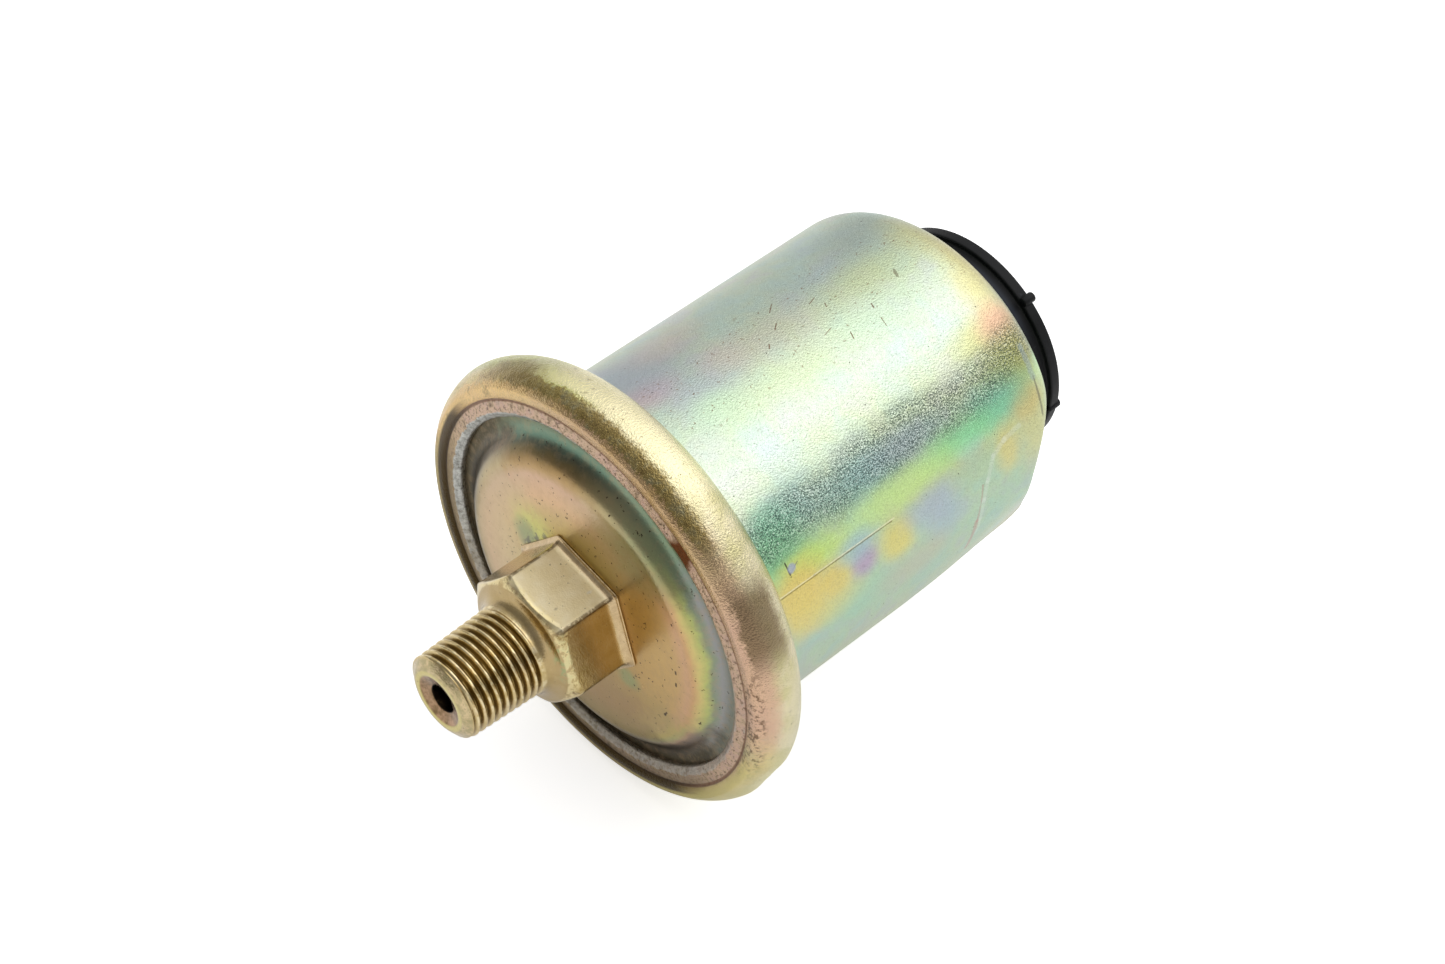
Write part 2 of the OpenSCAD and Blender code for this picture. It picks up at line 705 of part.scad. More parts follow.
// Room for the base plate, gasket, diaphragm and clamp ring inside the bead
module bead_inside() {
    intersection() {
        union() {
            translate([bead_ring_r, bead_x]) circle(r = bead_in_r, $fn = 128);
            translate([0, rim_x]) square([bead_ring_r, flange_in_x - rim_x]);
        }
        translate([0, rim_x]) square([bead_ring_r + bead_r, flange_in_x - rim_x]);
    }
}

// What the fold leaves open at the front: the hole, the sheared edge, the lip's face, the slope up
// to the bead and the bead's flattened front
module front_opening() {
    face_x = lip_x - lip_rise;
    flat_x = bead_x - bead_front;
    clear_x = bead_x - bead_r - past;
    polygon([[0, clear_x], [bead_ring_r + bead_r, clear_x], [bead_ring_r + bead_r, flat_x],
             [crease_r + slope_w, flat_x], [crease_r, lip_x], [lip_r + lip_bevel + 0.3, face_x],
             [lip_r, face_x + lip_bevel], [lip_r, rim_x + past], [0, rim_x + past]]);
}

// A ball pressed in along a leaning normal, from a point on the can's outside
module pressed(x, r, ball_r, depth, lean, extra) {
    translate([x + (ball_r - depth) * sin(lean), r + (ball_r - depth) * cos(lean), 0])
        sphere(r = ball_r + extra, $fn = 160);
}

module dent(extra) {
    mid_x = can_back_x - shoulder_r;
    mid_r = can_r - shoulder_r;
    rotate([dent_turn, 0, 0]) {
        pressed(mid_x + shoulder_r * sin(dent_lean), mid_r + shoulder_r * cos(dent_lean), dent_r,
                dent_depth, dent_lean, extra);
        pressed(hollow_x, can_r, hollow_r, hollow_depth, hollow_lean, extra);
    }
}

module canister() {
    color("palegoldenrod") difference() {
        difference() {
            turned() difference() {
                can_outside();
                bead_inside();
                front_opening();
            }
            dent(0);
        }
        difference() {
            turned() can_inside();
            dent(can_wall);
        }
        tube_x(can_back_x - can_wall - past, can_back_x + past, can_hole_d / 2);
        rotate([notch_turn, 0, 0]) translate([lip_x - past, lip_r - lip_bevel, -notch_w / 2])
            cube([past + notch_depth, notch_len, notch_w]);
    }
}

module inner_insulator() {
    color("peru") tube_x(insulator_x, insulator_x + insulator_t, can_hole_d / 2 + insulator_rim, stud_r);
}

module inner_nut() {
    color("goldenrod") difference() {
        hex_x(inner_nut_x, eye_x, inner_nut_af);
        tube_x(inner_nut_x - past, eye_x + past, stud_r);
    }
}

module cap_seal() {
    color("black") turned() translate([seal_ring_r, can_back_x + seal_w / 2]) circle(r = seal_w / 2, $fn = 48);
}

module end_cap() {
    lip_outer = cap_d / 2 + cap_lip;
    color([0.09, 0.09, 0.1]) difference() {
        union() {
            turned() difference() {
                union() {
                    translate([0, can_back_x]) square([cap_d / 2, cap_h]);
                    translate([0, can_back_x - can_wall]) square([can_hole_d / 2 - part_gap, can_wall + past]);
                    translate([0, cap_rim_x]) square([lip_outer, cap_rim_h]);
                }
                translate([0, cap_back_x - cap_recess]) square([cap_d / 2 - cap_wall, cap_recess + past]);
                translate([seal_ring_r - seal_w / 2 - seal_gap, can_back_x - past])
                    square([seal_w + 2 * seal_gap, past + seal_w]);
            }
            for (turn = nub_turns) rotate([turn, 0, 0]) translate([0, lip_outer - nub_r + nub_rise, 0])
                tube_x(cap_rim_x, cap_back_x + nub_out, nub_r);
            tube_x(cap_back_x - cap_recess - past, boss_x, cap_boss_d / 2);
        }
        tube_x(can_back_x - can_wall - past, cap_back_x + past, stud_r);
    }
}

module terminal_stud() {
    color("darkgoldenrod") {
        tube_x(stud_in_x, collar_x + collar_t, stud_r);
        hex_x(collar_x, collar_x + collar_t, collar_af, collar_turn);
        tube_x(collar_x + collar_t, stud_end_x - stud_bevel, stud_r);
        turned() polygon([[0, stud_end_x - stud_bevel], [stud_r, stud_end_x - stud_bevel],
                          [stud_r - stud_bevel, stud_end_x], [0, stud_end_x]]);
    }
}

// Washer with cut teeth round its edge
module lock_washer() {
    color("silver") difference() {
        tube_x(lock_x, collar_x, stud_r + lock_rim, stud_r + touch_gap);
        for (i = [0 : lock_teeth - 1]) rotate([360 * i / lock_teeth, 0, 0])
            translate([lock_x - past, stud_r + lock_root, -lock_cut_w / 2])
                cube([lock_t + 2 * past, lock_rim, lock_cut_w]);
    }
}

pressure_fitting();
restrictor();
base_plate();
gasket();
diaphragm();
clamp_ring();
push_pin();
return_spring();
bridge_frame();
pivot_pin();
rocker();
wiper_contact();
resistor_card();
resistor_winding();
card_rivets();
adjuster_screw();
lead_strip();
canister();
inner_insulator();
inner_nut();
cap_seal();
end_cap();
terminal_stud();
lock_washer();
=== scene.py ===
import math

import bmesh
import bpy
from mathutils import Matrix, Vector, noise


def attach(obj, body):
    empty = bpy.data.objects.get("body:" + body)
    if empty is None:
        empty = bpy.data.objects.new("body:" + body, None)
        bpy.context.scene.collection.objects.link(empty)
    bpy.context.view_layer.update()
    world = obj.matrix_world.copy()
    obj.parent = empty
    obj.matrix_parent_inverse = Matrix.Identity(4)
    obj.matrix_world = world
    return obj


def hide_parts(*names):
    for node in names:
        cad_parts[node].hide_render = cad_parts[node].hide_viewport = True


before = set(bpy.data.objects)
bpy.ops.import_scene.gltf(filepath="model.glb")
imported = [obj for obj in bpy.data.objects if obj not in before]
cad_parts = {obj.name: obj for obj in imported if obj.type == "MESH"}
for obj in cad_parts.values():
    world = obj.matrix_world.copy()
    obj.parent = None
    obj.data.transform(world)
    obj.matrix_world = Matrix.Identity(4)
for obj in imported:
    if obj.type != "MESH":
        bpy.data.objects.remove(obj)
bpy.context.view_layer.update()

MM = 0.001

# ---------------------------------------------------------------- camera
CAMERA_AT = (-120.67, -156.40, 227.28)
CAMERA_AZIMUTH = -43.68
CAMERA_ELEVATION = 45.97
LENS = 72.44
FLOOR_Z = -26.65


def make_camera():
    data = bpy.data.cameras.new("camera")
    data.lens = LENS
    data.sensor_width = 36.0
    data.clip_start = 0.01
    data.clip_end = 20.0
    camera = bpy.data.objects.new("camera", data)
    bpy.context.scene.collection.objects.link(camera)
    a, e = math.radians(CAMERA_AZIMUTH), math.radians(CAMERA_ELEVATION)
    look = Vector((-math.sin(a) * math.cos(e), math.cos(a) * math.cos(e), -math.sin(e)))
    camera.rotation_mode = "QUATERNION"
    camera.rotation_quaternion = look.to_track_quat("-Z", "Y")
    camera.location = Vector(CAMERA_AT) * MM
    bpy.context.scene.camera = camera


make_camera()


# ---------------------------------------------------------------- shader helpers
def srgb(r, g, b):
    """0-255 display values to linear."""
    def one(v):
        v /= 255.0
        return v / 12.92 if v <= 0.04045 else ((v + 0.055) / 1.055) ** 2.4
    return (one(r), one(g), one(b), 1.0)


class Shader:
    """A material's node tree with short calls for the nodes used here."""

    def __init__(self, name):
        self.material = bpy.data.materials.new(name)
        self.material.use_nodes = True
        self.nodes = self.material.node_tree.nodes
        self.links = self.material.node_tree.links
        self.bsdf = self.nodes["Principled BSDF"]
        self.place = self.add("TexCoord").outputs["Object"]
        self.swings = {}

    def add(self, kind, values=(), **settings):
        node = self.nodes.new("ShaderNode" + kind)
        for key, value in settings.items():
            setattr(node, key, value)
        for key, value in dict(values).items():
            self.put(node.inputs[key], value)
        return node

    def put(self, socket, value):
        if isinstance(value, bpy.types.NodeSocket):
            self.links.new(value, socket)
        else:
            socket.default_value = value

    def math(self, operation, *values):
        return self.add("Math", enumerate(values), operation=operation).outputs[0]

    def vector(self, operation, *values):
        node = self.add("VectorMath", enumerate(values), operation=operation)
        return node.outputs["Value" if operation in ("LENGTH", "DOT_PRODUCT", "DISTANCE") else "Vector"]

    def noise(self, size_mm, detail=2.0, rough=0.5, at=None, distortion=0.0):
        """Noise whose grain is about size_mm."""
        return self.add("TexNoise", {"Vector": at or self.place, "Scale": 1 / (size_mm * MM), "Detail": detail,
                                     "Roughness": rough, "Distortion": distortion}).outputs[0]

    def swing(self, noise_value):
        """The noise moved to swing about 0; one node for all that use it, so that the shader stays small."""
        name = noise_value.node.name
        if name not in self.swings:
            self.swings[name] = self.math("SUBTRACT", noise_value, 0.5)
        return self.swings[name]

    def step(self, value, low, high):
        """0 below low, 1 above high, smooth between; low may be above high."""
        if low < high:
            return self.add("MapRange", {0: value, 1: low, 2: high}, interpolation_type="SMOOTHSTEP",
                            clamp=False).outputs[0]
        return self.math("SUBTRACT", 1.0, self.step(value, high, low))

    def band(self, value, a, b, c, d):
        """Rises from a to b, falls from c to d."""
        return self.math("MULTIPLY", self.step(value, a, b), self.step(value, d, c))

    def mix(self, factor, a, b, blend="MIX"):
        return self.add("Mix", {0: factor, 6: a, 7: b}, data_type="RGBA", blend_type=blend).outputs[2]

    def blend(self, factor, a, b):
        return self.add("Mix", {0: factor, 2: a, 3: b}, data_type="FLOAT").outputs[0]

    def ramp(self, factor, stops, interpolation="LINEAR"):
        node = self.add("ValToRGB", {0: factor})
        ramp = node.color_ramp
        ramp.interpolation = interpolation
        while len(ramp.elements) < len(stops):
            ramp.elements.new(1.0)
        for element, (position, colour) in zip(ramp.elements, stops):
            element.position = position
            element.color = colour
        return node.outputs[0]

    def axis(self):
        split = self.add("SeparateXYZ", {0: self.place}).outputs
        x = self.math("MULTIPLY", split[0], 1000.0)
        y = self.math("MULTIPLY", split[1], -1000.0)
        z = self.math("MULTIPLY", split[2], 1000.0)
        r = self.math("SQRT", self.math("ADD", self.math("MULTIPLY", y, y), self.math("MULTIPLY", z, z)))
        turn = self.math("MULTIPLY", self.math("ARCTAN2", y, z), 180 / math.pi)
        return x, r, turn

    def spot(self, at, along, around, radius, edge=0.5, wobble=None, amount=0.0):
        """1 inside a patch at (x mm, turn degrees) on a turned surface of that radius, 0 outside."""
        x, turn = at
        t = math.radians(turn)
        centre = Vector((x, -radius * math.sin(t), radius * math.cos(t))) * MM
        gap = self.vector("SUBTRACT", self.place, tuple(centre))
        scaled = self.vector("MULTIPLY", gap, (1 / (along * MM), 1 / (around * MM), 1 / (around * MM)))
        length = self.vector("LENGTH", scaled)
        if wobble is not None:
            length = self.math("MULTIPLY_ADD", self.swing(wobble), amount, length)
        return self.step(length, 1.0 + edge, 1.0 - edge)

    def stroke(self, start, end, width, radius, wobble=None, amount=0.0):
        """1 on a thin line between two (x mm, turn degrees) places on a turned surface, 0 away from it."""
        a, b = (Vector((x, -radius * math.sin(math.radians(t)), radius * math.cos(math.radians(t)))) * MM
                for x, t in (start, end))
        along = b - a
        gap = self.vector("SUBTRACT", self.place, tuple(a))
        share = self.math("DIVIDE", self.vector("DOT_PRODUCT", gap, tuple(along)), along.length_squared)
        share = self.math("MAXIMUM", self.math("MINIMUM", share, 1.0), 0.0)
        way = self.add("VectorMath", {0: tuple(along), 3: share}, operation="SCALE").outputs["Vector"]
        length = self.math("DIVIDE", self.vector("LENGTH", self.vector("SUBTRACT", gap, way)), width * MM)
        if wobble is not None:
            length = self.math("MULTIPLY_ADD", self.swing(wobble), amount, length)
        return self.step(length, 1.3, 0.6)

    def paint(self, colour, patches, radius, wobble):
        """Lays soft patches of colour over a turned surface: film colour, and in a few places painted highlight."""
        for x, turn, along, around, edge, amount, tint, strength in patches:
            mask = self.spot((x, turn), along, around, radius, edge, wobble, amount)
            colour = self.mix(self.math("MULTIPLY", mask, strength), colour, tint)
        return colour

    def finish(self, colour, roughness, metallic=1.0, bumps=(), **sockets):
        self.put(self.bsdf.inputs["Base Color"], colour)
        self.put(self.bsdf.inputs["Roughness"], roughness)
        self.put(self.bsdf.inputs["Metallic"], metallic)
        normal = None
        for height, distance_mm, strength in bumps:
            values = {"Height": height, "Distance": distance_mm * MM, "Strength": strength}
            if normal:
                values["Normal"] = normal
            normal = self.add("Bump", values).outputs[0]
        if normal:
            self.put(self.bsdf.inputs["Normal"], normal)
        for name, value in sockets.items():
            self.bsdf.inputs[name.replace("_", " ")].default_value = value
        return self.material


# ---------------------------------------------------------------- mesh helpers
def arc(cx, cr, radius, start, end, steps):
    """Points (x, r) on an arc; angles in degrees from +x towards +r."""
    return [(cx + radius * math.cos(math.radians(start + (end - start) * i / steps)),
             cr + radius * math.sin(math.radians(start + (end - start) * i / steps))) for i in range(steps + 1)]


def line(a, b, steps):
    """Points from a to b without a itself."""
    return [(a[0] + (b[0] - a[0]) * i / steps, a[1] + (b[1] - a[1]) * i / steps) for i in range(1, steps + 1)]


def build(name, rows, closed_rows=False, caps=False):
    """A tube mesh from rows of points in mm; each row runs round the axis."""
    count = len(rows[0])
    points = [p for row in rows for p in row]
    faces = []
    pairs = [(i, (i + 1) % len(rows)) for i in range(len(rows) if closed_rows else len(rows) - 1)]
    for i, j in pairs:
        for k in range(count):
            m = (k + 1) % count
            faces.append((i * count + k, j * count + k, j * count + m, i * count + m))
    if caps:
        faces.append(tuple(range(count)))
        faces.append(tuple((len(rows) - 1) * count + k for k in reversed(range(count))))
    mesh = bpy.data.meshes.new(name)
    mesh.from_pydata([tuple(v * MM for v in p) for p in points], [], faces)
    mesh.validate()
    mesh.polygons.foreach_set("use_smooth", [True] * len(mesh.polygons))
    mesh.update()
    piece = bpy.data.objects.new(name, mesh)
    bpy.context.scene.collection.objects.link(piece)
    return piece


def turned(name, profile, segments, move=None, closed=True, start=0.0, caps=False):
    """Revolves (x, r) points about +X. move(x, r, phi) may return a shifted (x, r)."""
    rows = []
    for x, r in profile:
        row = []
        for k in range(segments):
            phi = math.radians(start) + 2 * math.pi * k / segments
            px, pr = move(x, r, phi) if move else (x, r)
            row.append((px, pr * math.cos(phi), pr * math.sin(phi)))
        rows.append(row)
    return build(name, rows, closed_rows=closed, caps=caps)


def sharp(piece, angle):
    """Keeps edges sharper than the angle crisp."""
    mesh = piece.data
    mesh.set_sharp_from_angle(angle=math.radians(angle))


def stands_for(piece, node, body, material):
    piece.data.materials.append(material)
    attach(piece, body)
    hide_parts(node)


def smooth_step(value, low, high):
    t = max(0.0, min(1.0, (value - low) / (high - low)))
    return t * t * (3 - 2 * t)


# ---------------------------------------------------------------- sizes, as in the solids (mm)
RIM_X, GASKET_X, CLAMP_BACK_X = 10.5, 12.0, 15.1
WALL = 0.9
FLANGE_X = CLAMP_BACK_X + WALL
CAN_R, CAN_BACK_X, SHOULDER_R = 20.2, 62.3, 4.9
BEAD_X, BEAD_RING_R, BEAD_R = 12.6, 22.54, 4.06
HOLE_R = 8.0
DOME_X, DOME_EDGE_R, DOME_ROUND, DOME_FILLET, DOME_LEAN = 8.3, 18.03, 2.3, 2.0, 45.0


# ---------------------------------------------------------------- can
DENTS = [
    # place on the rear shoulder (degrees from the side), turn, ball radius, depth; the softness of the edge is DENT_SOFT
    (52.5, 186.6, 24.1, 3.05),
    (2.5, 205.0, 100.0, 0.79),
]
DENT_SOFT = 0.5


def dented(x, r, phi, extra):
    """Moves a point of the can out of the balls pressed into it."""
    point = Vector((x, r * math.cos(phi), r * math.sin(phi)))
    for lean, turn, radius, depth in DENTS:
        a, t = math.radians(lean), math.radians(turn)
        cx = CAN_BACK_X - SHOULDER_R + (SHOULDER_R + radius - depth) * math.sin(a)
        cr = CAN_R - SHOULDER_R + (SHOULDER_R + radius - depth) * math.cos(a)
        gap = point - Vector((cx, cr * math.cos(t), cr * math.sin(t)))
        push = radius + extra - gap.length
        push = DENT_SOFT * math.log1p(math.exp(min(40.0, push / DENT_SOFT)))
        if push > 0.002:
            point += gap.normalized() * push
    return point.x, math.hypot(point.y, point.z)


def can_move(x, r, phi, extra):
    """The dent in the rear shoulder, the bead's waviness, and the notch in the lip."""
    if x > 40:
        return dented(x, r, phi, extra)
    y, z = r * math.cos(phi), r * math.sin(phi)
    turn = math.degrees(phi)
    swell = 0.07 * noise.noise(Vector((x * 0.25, y * 0.12, z * 0.12)))
    if x < 16.5 and r > 21:
        flat = smooth_step(turn, 196, 204) * (1 - smooth_step(turn, 208, 216))
        r += swell - 0.3 * flat * smooth_step(r, 24.5, 26.5)
    if x < 10.6 and r < 22.3:
        notch = smooth_step(turn, 126.6, 127.4) * (1 - smooth_step(turn, 131.0, 132.0))
        r += 0.5 * notch * (1 - smooth_step(r, 21.6, 22.3))
        r += 0.06 * noise.noise(Vector((3.1, y * 0.9, z * 0.9)))
    return x, r


def can_profile():
    outer = []
    outer += [(10.5, 21.35), (10.2, 21.33), (9.95, 21.36)]
    outer += line((9.95, 21.36), (9.5, 21.95), 4)
    outer += [(9.45, 22.1), (9.45, 22.3)]
    outer += line((9.45, 22.3), (9.62, 23.3), 5)
    outer += [(9.67, 23.42), (9.64, 23.52), (9.5, 23.7), (9.41, 23.88), (9.36, 24.05), (9.34, 24.3), (9.33, 24.6)]
    start = math.degrees(math.atan2(24.95 - BEAD_RING_R, 9.34 - BEAD_X))
    outer += arc(BEAD_X, BEAD_RING_R, BEAD_R, start, 40.5, 40)
    outer += [(15.9, 24.88), (16.0, 24.5)]
    outer += line((16.0, 24.5), (16.0, 21.3), 6)
    outer += arc(17.0, 21.2, 1.0, 180, 270, 8)
    outer += line((17.0, CAN_R), (46.0, CAN_R), 26)
    outer += line((46.0, CAN_R), (CAN_BACK_X - SHOULDER_R, CAN_R), 22)
    outer += arc(CAN_BACK_X - SHOULDER_R, CAN_R - SHOULDER_R, SHOULDER_R, 90, 0, 26)[1:]
    outer += line((CAN_BACK_X, CAN_R - SHOULDER_R), (CAN_BACK_X, HOLE_R + 0.15), 12)
    outer += [(CAN_BACK_X - 0.15, HOLE_R)]
    back = CAN_BACK_X - WALL
    inner = [(back, HOLE_R)]
    inner += line((back, HOLE_R), (back, CAN_R - SHOULDER_R), 8)
    inner += arc(CAN_BACK_X - SHOULDER_R, CAN_R - SHOULDER_R, SHOULDER_R - WALL, 0, 90, 14)[1:]
    inner += line((CAN_BACK_X - SHOULDER_R, CAN_R - WALL), (46.0, CAN_R - WALL), 12)
    inner += line((46.0, CAN_R - WALL), (17.0, CAN_R - WALL), 6)
    inner += arc(17.0, 21.2, 1.9, 270, 180, 6)[1:]
    inner += line((15.1, 21.2), (15.1, 24.4), 3)
    inner += arc(BEAD_X, BEAD_RING_R, BEAD_R - WALL, 38, 132, 12)[1:]
    inner += [(10.5, 24.4), (10.5, 22.8)]
    return outer, inner


def make_can():
    outer, inner = can_profile()
    segments = 360
    rows = []
    for part, extra in ((outer, 0.0), (inner, WALL)):
        for x, r in part:
            row = []
            for k in range(segments):
                phi = 2 * math.pi * k / segments
                px, pr = can_move(x, r, phi, extra)
                row.append((px, pr * math.cos(phi), pr * math.sin(phi)))
            rows.append(row)
    piece = build("can", rows, closed_rows=True)
    sharp(piece, 50)
    return piece


def zinc_can():
    s = Shader("zinc_can")
    x, r, turn = s.axis()
    large = s.noise(9.0, 2.0)
    mid = s.noise(3.5, 3.0, 0.6)
    small = s.noise(1.1, 3.0, 0.6)
    fine = s.noise(0.24, 2.0, 0.7)
    grain = s.noise(0.17, 1.0)
    # Broad film colours round the can, from the top towards -Y; the stops from 14 to 38 degrees are lightened towards
    # white as painted highlight where the overhead light is reflected
    way = s.math("ADD", turn, s.math("MULTIPLY", s.math("SUBTRACT", large, 0.5), 16.0))
    way = s.math("ADD", way, s.math("MULTIPLY", s.math("SUBTRACT", x, 35.0), 0.1))
    place = s.math("DIVIDE", s.math("ADD", way, 180.0), 360.0)
    stops = [(-180, srgb(190, 198, 176)), (-60, srgb(200, 204, 196)), (-34, srgb(184, 198, 188)),
             (-18, srgb(184, 202, 194)), (-2, srgb(192, 210, 192)), (14, srgb(206, 226, 204)),
             (26, srgb(218, 230, 222)), (38, srgb(220, 234, 206)), (46, srgb(200, 216, 182)),
             (53, srgb(176, 214, 178)), (61, srgb(204, 240, 178)), (68, srgb(204, 216, 160)),
             (78, srgb(178, 206, 180)), (92, srgb(168, 204, 186)), (120, srgb(186, 190, 170)),
             (180, srgb(190, 198, 176))]
    body = s.ramp(place, [((t + 180) / 360, c) for t, c in stops])
    # Faint film clouds everywhere
    cloud = s.ramp(s.noise(6.0, 3.0, 0.6), [(0.3, srgb(178, 196, 206)), (0.42, srgb(186, 210, 186)),
                                          (0.52, srgb(206, 212, 160)), (0.62, srgb(206, 190, 186)),
                                          (0.74, srgb(184, 202, 200))])
    body = s.mix(0.27, body, cloud)
    body = s.paint(body, [
        # x, turn, along, around, edge, wobble, colour, strength
        (21.0, -8, 3.0, 2.0, 0.8, 1.0, srgb(204, 176, 180), 0.8),
        (21.0, -24, 4.0, 4.0, 0.8, 0.9, srgb(170, 178, 190), 0.7),
        (25.0, 2, 5.0, 3.0, 0.9, 1.0, srgb(176, 184, 196), 0.6),
        (24.0, -16, 4.0, 3.0, 0.8, 0.9, srgb(176, 182, 190), 0.6),
        # this patch and those at (35, 14) and (46, 14) are film colour lightened as painted highlight
        (24.5, 10, 3.5, 2.0, 0.8, 1.0, srgb(200, 228, 192), 0.7),
        (31.0, -4, 3.0, 2.2, 0.9, 1.0, srgb(206, 190, 186), 0.6),
        (28.0, -26, 4.0, 3.0, 0.8, 1.0, srgb(206, 186, 178), 0.5),
        (37.0, -2, 6.0, 3.2, 0.9, 1.0, srgb(196, 196, 170), 0.6),
        (35.0, 14, 8.0, 2.4, 0.9, 1.0, srgb(214, 230, 184), 0.55),
        (46.0, -10, 6.0, 2.4, 0.9, 1.0, srgb(172, 188, 190), 0.6),
        (50.0, 0, 6.0, 2.6, 0.9, 1.0, srgb(196, 206, 156), 0.6),
        (46.0, 14, 5.0, 2.4, 0.9, 1.0, srgb(204, 226, 200), 0.6),
        (55.0, -18, 5.0, 3.6, 0.9, 1.0, srgb(166, 178, 170), 0.7),
        (59.0, -4, 3.0, 4.0, 0.8, 1.0, srgb(206, 204, 150), 0.7),
        (61.0, 4, 1.6, 6.0, 0.8, 0.9, srgb(172, 178, 160), 0.7),
        (61.2, 26, 1.2, 6.0, 0.8, 0.9, srgb(176, 180, 150), 0.7),
        # a whitish-teal spot painted as highlight
        (47.6, 61.0, 1.8, 1.5, 0.8, 1.0, srgb(196, 244, 226), 0.8),
        (56.2, 61.0, 2.4, 2.0, 0.6, 1.0, srgb(222, 190, 120), 0.85),
        (60.0, 12, 2.4, 4.6, 0.8, 0.9, srgb(222, 208, 140), 0.65),
        (58.2, 25, 2.2, 4.0, 0.8, 0.9, srgb(222, 212, 140), 0.65),
        (55.5, 37, 4.0, 2.0, 0.8, 0.9, srgb(216, 212, 140), 0.7),
        (58.0, 37, 2.6, 2.2, 0.8, 0.9, srgb(228, 180, 156), 0.85),
        (58.5, 46, 3.0, 2.4, 0.8, 1.0, srgb(186, 172, 100), 0.9),
        (56.0, 50, 3.4, 2.6, 0.8, 1.0, srgb(178, 184, 110), 0.8),
        (33.0, 50, 6.0, 1.8, 0.8, 1.0, srgb(150, 196, 196), 0.6),
        (40.0, 50, 5.0, 1.6, 0.8, 1.0, srgb(176, 190, 200), 0.7),
        (24.0, 45, 4.0, 2.4, 0.8, 1.0, srgb(150, 190, 190), 0.6),
        (21.0, 49, 3.0, 2.4, 0.8, 1.0, srgb(130, 196, 160), 0.8),
        (20.0, 57, 4.0, 2.4, 0.8, 1.0, srgb(140, 206, 150), 0.8),
        (24.0, 63, 4.0, 1.6, 0.7, 1.0, srgb(206, 232, 120), 0.8),
        (53.0, 57, 4.0, 2.2, 0.8, 1.0, srgb(130, 206, 176), 0.8),
        (47.0, 59, 5.0, 1.6, 0.8, 1.0, srgb(150, 224, 160), 0.8),
        (38.0, 62, 6.0, 1.6, 0.8, 1.0, srgb(210, 240, 150), 0.7),
        (21.5, 71, 3.6, 3.2, 0.6, 0.8, srgb(232, 206, 120), 0.85),
        (26.0, 75, 2.6, 2.4, 0.6, 0.9, srgb(228, 206, 120), 0.8),
        (30.5, 74.5, 1.7, 1.9, 0.7, 0.9, srgb(184, 164, 190), 0.9),
        (30.0, 69, 2.6, 1.5, 0.7, 0.9, srgb(168, 200, 206), 0.7),
        (35.5, 76.5, 2.3, 2.4, 0.6, 0.9, srgb(224, 212, 128), 0.85),
        (41.0, 73, 3.4, 2.0, 0.8, 0.9, srgb(178, 188, 206), 0.75),
        (42.5, 81, 2.6, 2.0, 0.8, 0.9, srgb(172, 186, 206), 0.6),
        (48.0, 70, 3.0, 2.0, 0.8, 0.9, srgb(180, 206, 176), 0.7),
        (52.6, 72, 1.6, 2.6, 0.7, 0.9, srgb(222, 210, 140), 0.8),
        (57.0, 73, 2.6, 4.0, 0.8, 0.9, srgb(216, 210, 150), 0.7),
        (22.0, 80, 3.0, 2.6, 0.7, 0.9, srgb(226, 208, 124), 0.75),
        (26.5, 84, 3.4, 1.6, 0.7, 0.9, srgb(216, 212, 140), 0.7),
        (31.0, 88, 5.0, 2.0, 0.8, 0.9, srgb(170, 206, 180), 0.7),
        (38.0, 90, 5.0, 2.0, 0.8, 0.9, srgb(196, 190, 170), 0.6),
    ], CAN_R, s.math("ADD", s.math("MULTIPLY", mid, 0.75), s.math("MULTIPLY", small, 0.25)))
    # Dark and light specks in the darker reflection band, a painted sparkle of that reflection; brown specks mostly on
    # the upper side, a few marks
    # painted reflection: dark specks and light glints only where the can reflects the dim room
    dark_reflection_band = s.band(way, 37, 44, 52, 60)
    grit = s.noise(0.15, 2.0, 0.7)
    body = s.mix(s.math("MULTIPLY", s.math("MULTIPLY", dark_reflection_band, s.step(grit, 0.54, 0.43)), 0.85), body, srgb(66, 82, 78))
    body = s.mix(s.math("MULTIPLY", s.math("MULTIPLY", dark_reflection_band, s.step(grit, 0.55, 0.64)), 0.5), body, srgb(240, 246, 238))
    body = s.mix(s.math("MULTIPLY", s.step(s.noise(0.21, 3.0, 0.7), 0.5, 0.36), 0.16), body, srgb(96, 100, 96))
    upper = s.math("ADD", 0.25, s.math("MULTIPLY", s.band(turn, -22, -8, 10, 22), 0.75))
    dust = s.step(s.noise(0.42, 3.0, 0.62), 0.635, 0.68)
    body = s.mix(s.math("MULTIPLY", s.math("MULTIPLY", dust, upper), 0.75), body, srgb(126, 98, 74))
    black = s.step(s.noise(0.5, 1.0, 0.5), 0.78, 0.8)
    body = s.mix(s.math("MULTIPLY", black, 0.8), body, srgb(60, 52, 44))
    brown, pale = srgb(112, 78, 56), srgb(226, 234, 222)
    arc_line = [(54.7, 67.6), (52.2, 68.8), (50.3, 71.5), (49.0, 78.1), (48.2, 84.6), (47.7, 92.4), (47.4, 97.5)]
    marks = [(a, b, 0.34, pale, 0.24) for a, b in zip(arc_line, arc_line[1:])]
